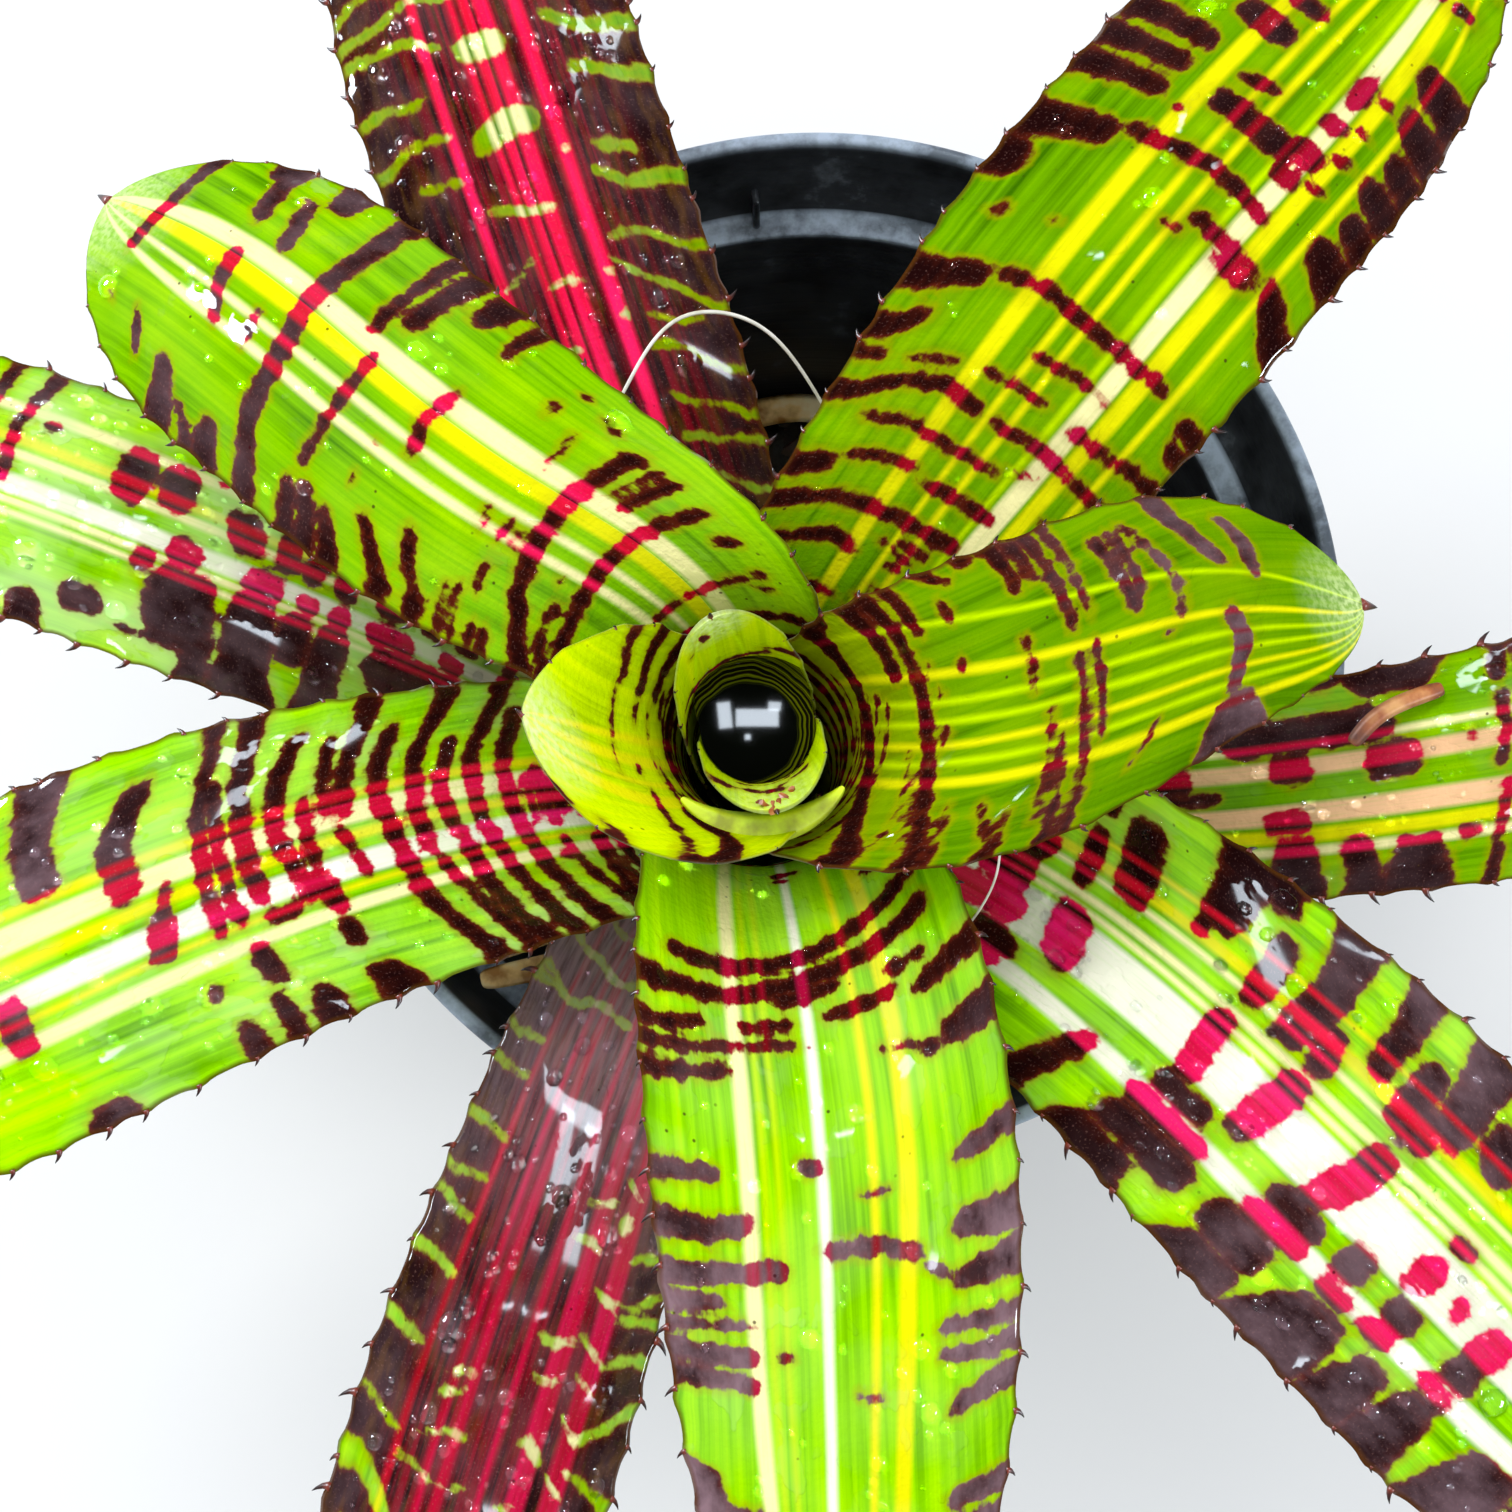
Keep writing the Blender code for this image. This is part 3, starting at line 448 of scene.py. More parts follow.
# %% Bands read off the photo
BANDS = {
    "leaf_02": (
        (.15, .5, 1.3, 75.5, 77.5), (.45, .6, 2.2, 74.5, 74), (-.5, -.9, 1.2, 66, 67),
        (-.2, -.8, 1.2, 61, 62)),
    "leaf_03": (
        (-.42, -.6, 1.6, 66, 66.5), (-.7, -.85, 1.8, 65, 65.5), (-.45, -.95, 1.6, 62, 63),
        (.75, 1, 1.5, 90, 91), (.9, 1, 1.6, 94, 95), (1.0, .22, 3, 84, 75, 72), (.2, .06, 1.5, 70.5, 69.8),
        (1, .1, 1.2, 86, 81, 77), (0, -.08, 1.5, 77.5, 77), (.05, -.6, .8, 82.5, 80.5),
        (-.35, -.48, 1.5, 75, 74.8), (-.5, -.88, 2, 74, 76), (-.5, -1, 2.5, 69, 70.5),
        (-.6, -.88, 1.5, 79.5, 81.5)),
    "leaf_04": (
        (1, -.88, 3.8, 69, 67, 67.2, 71, 76, 82), (1, .9, 2, 72.5, 72), (.37, .28, 2.4, 72.5, 72.5),
        (1, .38, 3, 78, 78.5), (1, -.85, 2.5, 81.5, 82, 82.5, 84, 86.5, 90), (1, .6, 2, 85, 85.5),
        (.43, .37, 1, 85, 85), (.28, .17, 1.2, 85.6, 86), (.03, -.1, 1.5, 86.3, 86.7),
        (.78, .62, 1.8, 91, 91), (1, .86, 2.5, 91, 93), (1, .9, 2.6, 97, 97), (.4, .3, 1.5, 90, 90),
        (-.5, -.9, 1, 90, 92), (-.55, -.88, 1.2, 94.5, 98), (-.65, -.85, .7, 98.3, 99),
        (.37, 0, 1.3, 99.7, 99.7), (1, .62, 2.2, 101.5, 101.3), (.95, .65, 1.8, 104, 104),
        (.95, .25, 1.8, 106.5, 106.5), (.88, .3, 1.2, 109.3, 109), (-.1, -.8, 1, 102, 102.3),
        (-.3, -.85, 1.3, 103.5, 104.5), (.15, -.88, 1.3, 106.2, 106.5, 107), (.15, -.45, 1, 108.8, 108.7),
        (.8, .2, 2, 113.8, 114.8, 115.5), (.8, .3, 1.8, 116.3, 117), (.82, .03, 1.6, 118, 120.5, 122, 121.5),
        (0, -.05, 1.5, 119, 119), (-.5, -.75, .8, 117, 113), (.85, .33, 3, 124.5, 127, 129.5),
        (.8, .25, 2.6, 132.5, 134, 134), (0, -.6, 3, 128.5, 129.5, 127.5), (-.65, -1, 8, 127.5, 127.5),
        (-.05, -.8, .5, 80.5, 84.5), (-.2, -.8, .4, 82.5, 87)),
    "leaf_05": (
        (.25, -.7, 1.5, 75.7, 76.2, 77), (-.55, -.7, 1, 74.5, 74.5),
        (.95, -.7, 2.4, 86.5, 87, 88.3, 88.5, 88), (.97, .5, 1.6, 88.5, 90.2, 90.5), (.58, .5, 3, 90, 90),
        (.38, .3, 1.3, 91.5, 91.5), (.97, -.72, 2.8, 92, 96, 98, 98.7, 99), (-.25, -.72, 2, 93.3, 93.3),
        (-.3, -.7, 1.2, 95.5, 95.7), (-.5, -.7, 2, 83, 82.8), (.9, .82, 1.5, 98.5, 98.5),
        (.88, .82, 1.3, 100.2, 100.2), (.68, .45, 1.3, 101.3, 101.8), (.9, .65, 1, 103.3, 104),
        (.85, .68, 1, 105.2, 105.6), (.33, .2, 1, 100, 100), (.33, .13, 1.3, 102, 102.3),
        (.32, .15, 1.3, 105, 105.8), (.85, .5, 2.3, 109, 111.8, 113), (-.2, -.55, .8, 104, 105.8),
        (-.52, -.68, 1.2, 110.3, 110.7), (-.7, -.76, 2.5, 104, 104), (-.72, -.78, 1.5, 106, 106),
        (-.79, -.83, 1.6, 110, 110), (.88, .62, 2.8, 114.5, 119.5), (.72, .6, 3.2, 118, 119.5),
        (.2, -.32, 2, 118.3, 119.8, 119.5), (-.65, -.9, 1.8, 120, 121), (.28, .2, 1.2, 123, 123),
        (.52, .44, .8, 123.3, 123.3), (-.72, -.97, 4, 126.5, 126.5), (.93, .72, 3, 122.5, 125),
        (.92, .66, 3, 126.5, 129), (.95, .7, 2.8, 130, 131.5), (.62, -.2, 1.8, 130.8, 130.7, 131.3),
        (-.4, -.92, 3.4, 131.5, 132.3), (-.25, -.95, 2.3, 134.5, 135.5, 136.5),
        (.97, -.95, 3.5, 137.5, 141.5, 142.3, 145, 145, 146.5), (.97, .75, 4, 145.5, 147),
        (.95, .8, 2.2, 149.5, 153), (.93, .63, 4.5, 156, 159), (.3, .05, 2, 148.5, 150),
        (.3, -.2, 3, 155, 159.5, 161), (-.3, -.75, 3, 154.5, 160), (-.75, -.95, 4.5, 155.5, 157),
        (-.4, -.85, 3.2, 163, 167), (-.8, -1, 5, 168, 168.5), (.8, .55, 2.5, 165, 169.5),
        (.72, .67, 3, 176, 176)),
    "leaf_06": (
        (.1, -.1, 2, 67.5, 67.5), (.02, -.1, 1.5, 70, 70), (.72, .45, 1.2, 76.5, 76.5),
        (.8, -.82, 2.7, 81, 83.5, 86, 87.2, 86), (.8, -.88, 2.8, 86.3, 88, 89.7, 91.5, 91),
        (.15, -.23, 2.5, 91, 92.8), (.67, .4, 2, 92, 92.3), (.85, .55, 3, 95.3, 96.3),
        (.48, .03, 2.2, 95, 95.5), (-.12, -.44, 2, 95.5, 96), (-.6, -.88, 2.2, 95.5, 97),
        (-.13, -.85, 1.6, 98.5, 98.5, 99.5), (-.06, -.1, .8, 99, 99), (-.5, -.93, 2.2, 102, 103.3),
        (.88, .65, 4, 103.5, 103.5), (.65, .5, 2.5, 104.5, 104), (.5, .3, 1, 103, 102),
        (-.62, -.97, 2.5, 115.2, 116), (-.06, -.22, 2.5, 115.3, 114.8), (.9, .62, 2.6, 117.5, 118.3),
        (-.47, -.97, 3.2, 121.5, 122.7, 122.3), (.92, .6, 4, 127.5, 126.5),
        (.43, -.13, 2.5, 128.3, 125.8, 125.7), (.9, .6, 3.4, 132.8, 133), (.6, .43, 1.6, 132, 130),
        (-.3, -1, 2.8, 127.5, 128.5), (-.65, -.97, 2, 131.5, 132), (-.5, -.95, 1.5, 134.5, 134.8),
        (.85, .5, 2, 139, 138), (.85, .5, 2, 142.5, 141.5), (.88, .57, 2.8, 146.5, 148.5),
        (-.5, -.95, 2.5, 138.5, 138), (-.5, -.9, 2.4, 142, 141), (.2, .02, 1.3, 145, 144.3),
        (.27, .1, .8, 119.5, 119.5), (-.3, -.4, 1.2, 138.5, 138.5), (.95, .6, 3, 159, 160),
        (-.8, -.95, 7, 156, 156), (-.55, -.8, 2.6, 159, 159)),
    "leaf_07": (
        (.15, -.62, 4, 69, 69.5), (.1, -.75, 2, 73, 73), (.05, -.5, 2, 75.5, 76), (.62, .2, 2, 71, 71.5),
        (.88, .25, 2.6, 77.5, 79, 80.5, 79.5), (.9, -.33, 2.6, 84, 86, 86.5, 87, 88.5),
        (.05, -.1, 1.2, 80, 80.3), (.03, -.12, 1.5, 82, 82.3), (.05, -.2, 2, 84, 84.5),
        (.2, .08, .8, 82.6, 83), (.9, .7, 3.5, 90, 91), (.68, .2, 2, 92.5, 94, 94.5),
        (.15, -.4, 2.2, 93, 94, 95), (.72, -.22, 1.9, 99, 99.8, 99.5, 100.3), (-.25, -.42, 1, 102, 104),
        (.85, .1, 2.8, 102, 105.5, 107, 106), (.05, -.97, 2, 105.5, 106.8, 107.5, 109),
        (-.57, -.75, 1.2, 100, 101.5), (.68, .4, 1.5, 108.5, 110.5), (.25, -.2, 1.4, 111.3, 112),
        (-.35, -.97, 2.2, 111.3, 113.5, 116), (.08, -.33, 2, 116.5, 117.8), (-.37, -.47, 1, 118, 118),
        (.87, .55, 4.5, 120.5, 123), (.55, -.67, 2.4, 124, 124.7, 124, 124, 125), (.88, .7, 3.5, 112, 115.5),
        (.87, .8, 2, 108, 108), (-.85, -1, 2.5, 121, 121.5), (-.82, -1, 2.6, 124.5, 124.7),
        (.8, .7, 2.5, 131.5, 132.5), (.47, .42, .8, 133.7, 133.7), (.88, .8, 6, 140, 140),
        (.92, .5, 5.5, 147, 148.5), (.5, -.3, 2.7, 150.5, 151, 152, 151.5), (-.1, -.62, 2.6, 144.8, 144.5),
        (0, -.15, 1, 141.5, 142), (-.35, -.65, 2.8, 142, 143), (-.68, -.95, 5, 145, 140.5),
        (.92, .45, 4, 158, 158), (.38, .3, 1.6, 156.5, 156.5), (.92, .45, 4, 163.5, 163),
        (.95, .4, 4, 169.5, 168), (.25, -.35, 4.5, 161, 160.5), (.2, -.05, 2.5, 166, 167),
        (-.3, -.48, 2.6, 151, 151), (-.28, -.47, 3.4, 157, 158), (-.26, -.5, 5, 162, 162.5),
        (-.3, -.47, 3.6, 168.5, 169), (-.32, -.46, 8, 175, 176), (-.46, -.62, 1.6, 159, 160),
        (-.46, -.62, 1.8, 165, 166), (-.48, -.6, 1.4, 171, 171), (-.46, -.62, 1.8, 177, 177),
        (.5, .1, 5, 176, 175), (.4, .05, 3, 182, 181), (-.72, -.97, 5.6, 154, 152.5),
        (-.76, -.97, 4.6, 160.5, 159), (-.7, -.97, 4.8, 166, 165), (-.74, -.97, 4.6, 171.6, 170.5),
        (-.64, -.97, 5.4, 178, 176.5), (-.58, -.95, 6, 185, 183.5)),
    "leaf_08": (
        (.7, .2, 3, 64, 65), (.9, .2, 2.4, 70, 69), (.75, .15, 1.5, 67, 68), (.87, .2, 2.2, 71.5, 73.5, 75),
        (.15, -.3, 2.2, 75, 77.5), (.42, .3, 1.5, 76, 76), (.95, -.8, 2.8, 77, 79, 80.8, 82.3, 80.5),
        (.1, -.2, 1.2, 70.5, 71), (.05, -.35, 3, 72.5, 77.5), (.1, -.3, 1.5, 78, 79),
        (.92, -.87, 2.7, 82, 83.7, 86.3, 87.2, 83.5), (.93, -.62, 2.7, 86, 88.2, 89.5, 92, 90),
        (.87, .15, 2.3, 88.7, 91.5, 94.5), (.15, -.87, 2.8, 95, 95.6, 95, 91.5),
        (.87, -.78, 3, 93.5, 97.8, 99, 101, 98.5), (.22, -.17, 2.2, 104, 107),
        (-.18, -.87, 3, 105.8, 105.2, 102.5), (-.2, -.75, 2.2, 108, 108.5, 107), (.9, .75, 5, 107, 108.5),
        (.63, .4, 3.4, 109, 109.7), (.38, .1, 4, 109.5, 111), (.1, -.38, 2.4, 111, 111.5),
        (.27, .05, 3.4, 112.5, 113.5), (.1, -.82, 3, 113.5, 115.5, 114.8, 111.5), (.33, .22, 6.5, 117, 117.5),
        (.2, -.87, 3, 119, 120, 120, 118.3), (.88, .75, 4, 117, 117), (.67, .38, 3.5, 121, 122),
        (.85, .7, 2.4, 122.5, 122.5), (.28, -.65, 2.3, 122.8, 123.5, 123.3),
        (.3, -.85, 2.4, 125.5, 126, 125.5, 123.5), (.92, .78, 3, 128, 128), (.65, .52, 2, 129.8, 129.8),
        (.3, 0, 4.5, 134, 132.5), (0, -.16, 2, 132, 131), (-.1, -.78, 5, 136.5, 137.5, 133),
        (-.3, -.95, 6, 147.5, 148.5, 147), (.47, .13, 4.5, 155, 155.5), (.97, .87, 6, 149, 149)),
    "leaf_09": (
        (.45, .2, 7, 87, 84), (.25, -.05, 12, 82, 82), (-.05, -.28, 22, 80, 79), (-.28, -.45, 11, 85, 87),
        (-.38, -.6, 14, 84, 83), (.62, .2, 3.6, 94.5, 93.5), (.97, .7, 3.8, 95, 95),
        (.12, -.3, 7.2, 94.5, 96), (.82, .28, 6.6, 101.5, 101), (-.46, -.9, 4.6, 107, 102.5),
        (.93, .47, 7.5, 117, 114), (.5, .38, 3.5, 112.5, 112), (.97, .8, 5, 122.5, 123),
        (.73, .25, 4.6, 125, 122.5), (.16, -.3, 4.6, 121, 120, 120.5), (-.3, -.46, 13, 122, 122),
        (-.46, -.58, 20, 122.5, 122.5), (-.57, -.8, 21, 123, 122), (-.8, -.92, 13, 118, 117),
        (.96, .2, 6, 134.5, 132.5, 128.5), (.5, .18, 4.4, 135.5, 134.5), (.17, -.34, 5.4, 134, 132, 130),
        (-.3, -.47, 12, 143.5, 143.5), (-.46, -.58, 15, 143, 142.5), (-.57, -.8, 14, 140, 139.5),
        (-.8, -.97, 11, 140, 138), (.9, .42, 4.4, 145, 142), (.72, .28, 5, 150, 147),
        (.2, -.3, 5.6, 149, 147, 143.5), (.5, .25, 6, 152, 150), (.95, .4, 6.5, 157, 154),
        (.75, .45, 6.5, 162, 162), (-.25, -.47, 6, 154, 153), (-.47, -.58, 7, 154.5, 154),
        (-.6, -.97, 11, 155, 152), (.15, .04, 4.5, 164, 163), (-.02, -.26, 5, 162, 161),
        (-.05, -.2, 3, 167.5, 168), (-.05, -.3, 6, 175, 173.5), (-.28, -.47, 6, 163, 162),
        (-.47, -.58, 7, 161.5, 161), (-.62, -.97, 6.5, 165, 163), (-.26, -.46, 6, 173.5, 173),
        (-.46, -.56, 8, 172, 172), (-.58, -.9, 7, 172, 171), (-.55, -.95, 10, 185, 184)),
    "leaf_12": (
        (.68, .34, 36, 117, 117), (.34, .03, 10, 95, 96), (.34, .05, 8, 114, 114.5),
        (.34, 0, 10, 129.5, 129.5), (.85, .74, 14, 131, 131), (.97, .88, 9, 119, 119),
        (.06, -.08, 18, 98, 98), (-.18, -.42, 8.5, 114, 114.5), (-.42, -.92, 7, 115.5, 117),
        (-.46, -.92, 5, 124, 127), (-.5, -.92, 8.5, 133.5, 134.5), (-.48, -.62, 4, 141, 141),
        (.3, .2, 2, 141, 141)),
    "leaf_13": (
        (.97, .5, 18, 82, 84), (.6, .12, 25, 85, 86), (.97, .14, 6.4, 101.8, 101), (.6, .12, 5.5, 107, 107),
        (.97, .12, 8.6, 113.5, 114.2), (.8, .15, 12, 124.5, 125), (.97, .6, 4, 121.5, 120),
        (.3, .1, 4, 132, 132), (.78, .55, 8, 139, 139), (.8, .74, 4, 131, 132), (.86, .74, 5, 147, 147),
        (.14, -.08, 5, 81, 82), (.14, -.08, 10.5, 92, 93), (.14, -.08, 4.6, 101, 101.5),
        (.14, -.06, 4, 106.5, 106.5), (.14, -.1, 7.6, 113.8, 114), (.14, -.1, 6.6, 126.5, 126.5),
        (-.12, -.45, 5, 80, 80.5), (-.12, -.45, 4.6, 86.5, 87), (-.12, -.45, 6, 93.5, 94.5),
        (-.12, -.47, 4.6, 101.5, 102.5), (-.12, -.48, 4, 107, 108), (-.12, -.5, 4.2, 111.5, 113),
        (-.15, -.5, 7, 118, 121), (-.25, -.64, 6.6, 131, 132), (-.18, -.66, 6, 137.5, 138.5),
        (-.5, -.6, 4, 152.5, 152.5), (-.6, -.68, 3, 126, 126)),
}
print("bands read off the photo:", sum(len(rows) for rows in BANDS.values()))

# %% [markdown]
# The dark leaves are listed by their gaps: the green and cream dashes that their red pigment leaves free.

# %% Gaps of the two dark leaves
GAPS = {
    "leaf_10": (
        (-.42, -.95, 1.5, 82, 81), (-.4, -.88, 1.5, 89, 86.5), (-.42, -.92, 1.5, 96.5, 92),
        (-.4, -.88, 1.5, 103, 99), (-.45, -.8, 1.4, 108.5, 106), (-.32, -.88, 1.6, 117, 109.5),
        (-.35, -.88, 1.6, 121.5, 117.5), (-.4, -.9, 2.6, 131, 128), (-.45, -.75, 2.5, 134.5, 133),
        (-.45, -.97, 2.6, 147, 143), (-.38, -.85, 3, 156, 153), (.22, .08, 1, 107.5, 107.5),
        (.12, -.12, 1.4, 115.5, 115.5), (.42, .12, 1.4, 120, 121.5), (.35, -.12, 1.6, 129, 128.5),
        (.3, -.18, 5.5, 140, 140), (.22, -.12, 6, 154.5, 154.5), (-.25, -.33, 2.2, 117, 117),
        (-.25, -.33, 1.8, 108.5, 108.5), (-.24, -.32, 1.8, 135, 135), (.72, .6, 2, 123.5, 123),
        (.75, .45, 1.6, 137.5, 136), (.9, .42, 1.8, 144, 142.5), (.88, .5, 1.8, 151, 151),
        (.88, .3, 2, 160, 157)),
    "leaf_11": (
        (-.65, -.95, 1.6, 79, 78.5), (-.6, -.92, 1.6, 87, 87), (-.62, -.88, 1.6, 93.5, 94),
        (-.58, -.9, 1.8, 101, 103), (-.6, -.9, 1.5, 109.5, 109), (-.6, -.9, 1.7, 115.3, 115),
        (-.58, -.92, 1.9, 121.3, 121.5), (-.65, -.93, 2, 134, 131), (-.6, -.85, 1.2, 144, 143.5),
        (-.5, -.85, 4, 155.5, 150), (.88, .65, 2, 111, 112), (.9, .65, 1.5, 116, 117),
        (.92, .66, 1.6, 120, 121.5), (.92, .66, 1.6, 124.5, 126.5), (.93, .62, 2.2, 133, 137),
        (.9, .6, 1.8, 145, 143), (.66, .46, 1.3, 102, 100.5), (.6, .5, 5, 107, 107),
        (.66, .46, 1.4, 119.5, 117), (.66, .46, 1.4, 125, 123), (.66, .46, 1.4, 132, 128.5),
        (.66, .46, 1.4, 139, 133.5), (.66, .46, 1.4, 145, 141.5), (.45, .2, 1.5, 104.5, 105),
        (.42, .2, 1.8, 111.5, 111.5), (.44, .15, 1.8, 124.5, 124), (.4, .2, 1.4, 131, 131.5),
        (.45, .25, 3, 140.5, 139.5), (.35, .2, 1.4, 148, 148), (-.2, -.4, 1.2, 133, 134),
        (-.2, -.42, 1.4, 137, 138), (0, -.6, .9, 147.5, 148.5), (-.1, -.5, 1, 142, 143), (.2, -.6, 2, 63, 64),
        (.1, -.9, 2, 71, 70), (.1, -.95, 2, 78, 78.5)),
}
print("gaps:", {name: len(rows) for name, rows in GAPS.items()})

# %% [markdown]
# Stripes: where each lies across the leaf, its width and its colour. After them come the place along the leaf
# where they were read, and the drift per 100 mm.

# %% Stripes read off the photo
YELLOW, LIME, CREAM, WHITE, PEACH = "eae608", "c0e400", "fff6b0", "fffce6", "f6c494"
STRIPES = {
    "leaf_01": (((.0, 1.2, LIME),), 60, 0.0),
    "leaf_02": (((.45, 1.2, LIME), (.1, 1.8, LIME), (-.3, 1.0, LIME)), 70, 0.0),
    "leaf_03": (((.2, 2.4, YELLOW), (.05, .8, YELLOW), (-.1, 1.6, YELLOW), (-.25, 1.2, YELLOW)), 80, 0.0),
    "leaf_04": (((.55, .6, LIME), (.22, 1.1, YELLOW), (.05, .5, LIME), (-.08, .4, LIME), (-.22, .5, YELLOW),
                 (-.33, .5, LIME), (-.46, 1.3, YELLOW)), 100, -0.9),
    "leaf_05": (((.27, 1.3, CREAM), (.11, 1.0, CREAM), (-.09, 2.9, YELLOW), (-.225, 2.9, CREAM)), 120, 0.0),
    "leaf_06": (((.37, 2.3, YELLOW), (.19, 1.1, YELLOW), (-.08, 1.4, WHITE), (-.30, .8, LIME), (-.38, .7, LIME),
                 (-.47, 2.0, CREAM)), 110, -0.13),
    "leaf_07": (((.30, 2.6, YELLOW), (.06, 1.0, YELLOW), (-.07, 1.0, YELLOW), (-.27, .6, LIME),
                 (-.385, 3.0, CREAM), (-.52, 2.4, YELLOW), (-.71, 1.0, YELLOW)), 120, 0.0),
    "leaf_08": (((.37, 1.9, CREAM), (.25, .7, YELLOW), (.12, 3.4, WHITE), (-.06, 1.6, YELLOW),
                 (-.21, 3.4, CREAM), (-.34, 1.4, YELLOW)), 110, 0.1),
    "leaf_09": (((.55, .8, YELLOW), (.40, 1.8, YELLOW), (.31, .8, CREAM), (.17, 1.2, CREAM), (.09, .9, CREAM),
                 (-.12, 8.0, WHITE), (-.50, 3.0, WHITE)), 120, 0.0),
    "leaf_10": (((.42, 1.4, CREAM), (.15, 1.0, CREAM), (.06, 1.6, CREAM), (-.05, 2.2, CREAM),
                 (-.27, 2.0, CREAM)), 120, 0.0),
    "leaf_11": (((.60, 2.6, CREAM), (.36, 2.6, CREAM), (.10, .9, PEACH), (-.20, 1.5, PEACH),
                 (-.33, 1.0, CREAM), (-.60, .9, YELLOW)), 120, 0.0),
    "leaf_12": (((.42, 1.0, CREAM), (.21, 2.8, PEACH), (-.22, 3.2, PEACH), (-.42, 2.0, YELLOW),
                 (-.56, 1.4, CREAM)), 120, 0.0),
    "leaf_13": (((.22, .9, CREAM), (.12, 1.2, CREAM), (-.01, 2.8, WHITE), (-.25, 1.4, CREAM),
                 (-.36, 1.4, YELLOW), (-.62, 1.6, CREAM)), 110, 0.0),
}
print("stripes:", sum(len(stripes[0]) for stripes in STRIPES.values()))

# %% [markdown]
# A band becomes a signed distance in mm: positive inside it, zero on its edge, negative outside. That field
# is stored on the mesh's points. It is smooth, so a mesh of 1 mm carries it well, and the shader can roughen
# the edge far more finely than the mesh. Where a leaf can't be seen, in the rosette's heart and past the
# photo's edge, seeded random bands go on in the same rhythm.

# %% Band fields
SEEN = {  # millimetres along each leaf between which its bands were read
    "leaf_01": (0, 90), "leaf_02": (0, 90), "leaf_03": (66, 99), "leaf_04": (62, 153), "leaf_05": (70, 180),
    "leaf_06": (64, 164), "leaf_07": (66, 198), "leaf_08": (60, 168), "leaf_09": (72, 191), "leaf_10": (70, 164),
    "leaf_11": (58, 160), "leaf_12": (86, 146), "leaf_13": (76, 157),
}
DARK_GROUND = 3.0
OVER_MARGIN = 0.84
FAR_INSIDE = -9.0
TUBE_LINES = (4.0, 42.0)
FOOT_HIDDEN = 30.0
TIP_CLEAR = 6.0


def row_field(row, along, across, half):
    """One band's signed distance in mm to a box round its middle line, with rounded corners: with off and over
    the distances past its side and its end, hypot(off+, over+) + min(max(off, over), 0), turned round so that
    inside is positive. An end inside the leaf narrows to 0.6 of the thickness. An outer end past 0.84 runs over
    the margin."""
    start, end, thick, *places = row
    share = (across - start) / (end - start)
    middle = np.interp(share, np.linspace(0.0, 1.0, len(places)), places)
    long = abs(end - start) * half
    ends = ((start, end, -share * long), (end, start, (share - 1.0) * long))
    beyond = np.maximum(*(FAR_INSIDE if abs(place) > OVER_MARGIN and place * (place - other) > 0.0 else out
                          for place, other, out in ends))
    narrow = 0.6 + 0.4 * np.sqrt(np.clip(-beyond / (0.6 + 0.5 * thick), 0.0, 1.0))
    flare = 1.0 + 0.35 * np.clip((np.abs(across) - 0.7) / 0.3, 0.0, 1.0)
    corner = min(thick / 2, 0.9)
    off = np.abs(along - middle) - thick / 2 * narrow * flare + corner
    over = beyond + corner
    outside = np.hypot(np.maximum(off, 0.0), np.maximum(over, 0.0))
    return corner - outside - np.minimum(np.maximum(off, over), 0.0)


def tube_rows(shape):
    """Seeded thin dark lines round the tube of a young leaf: one each 1.4 to 3 mm, long and unbroken."""
    draw = np.random.default_rng(250 + shape.layer)
    rows = []
    place = shape.sheath + TUBE_LINES[0]
    while place < shape.sheath + TUBE_LINES[1]:
        left, right = sorted(draw.uniform(-1.0, 1.0, 2))
        bend = place + draw.uniform(-1.0, 1.0, 3)
        rows.append((min(left, 0.2) - 0.1, max(right, 0.3), draw.uniform(0.5, 1.3), *bend))
        place += draw.uniform(1.4, 3.0)
    return rows


def unseen_rows(shape):
    """Seeded bands for the hidden foot and tip of a leaf: one each 5 to 8 mm, 1 to 4 mm thick, often broken."""
    draw = np.random.default_rng(200 + shape.layer)
    first, last = SEEN[shape.leaf.name]
    rows = tube_rows(shape) if shape.layer < 4 else []
    for low, high in ((FOOT_HIDDEN, first), (last, shape.length - TIP_CLEAR)):
        place = low
        while place < high:
            thick = draw.uniform(1.8, 3.8)
            cuts = np.sort(draw.uniform(-0.9, 0.9, draw.integers(0, 3)))
            edges = [-0.98, *cuts, 0.98]
            for left, right in zip(edges[:-1], edges[1:]):
                if right - left > 0.2 and draw.random() < 0.85:
                    bend = place + draw.uniform(-1.2, 1.2, 3)
                    rows.append((left + 0.03, right - 0.03, thick * draw.uniform(0.7, 1.1), *bend))
            place += draw.uniform(5.0, 8.0)
    return rows


def thinned(row, share):
    """A band's row with its thickness taken down to a share."""
    return (*row[:2], share * row[2], *row[3:])


def band_field(shape, along, across):
    """The largest signed distance over all bands of a leaf. On a dark leaf the gaps are taken away instead, and
    each sways by about 1 mm, as it crosses the leaf."""
    name = shape.leaf.name
    half = np.maximum(half_width(shape, along), 1.0)
    extra = unseen_rows(shape)
    if name not in GAPS:
        rows = (*BANDS.get(name, ()), *extra)
        return np.maximum(-DARK_GROUND, np.max([row_field(row, along, across, half) for row in rows], 0))
    field = np.full(along.shape, DARK_GROUND)
    for number, row in enumerate((*GAPS[name], *(thinned(row, 0.6) for row in extra))):
        sway = 0.9 * np.sin(5.0 * across + 2.4 * number) + 0.5 * np.sin(13.0 * across + 4.1 * number)
        field = np.minimum(field, -row_field(thinned(row, 0.85), along + sway, across, half))
    return field


print("made-up bands for what can't be seen:", sum(len(unseen_rows(shape)) for shape in SHAPES[2:]))
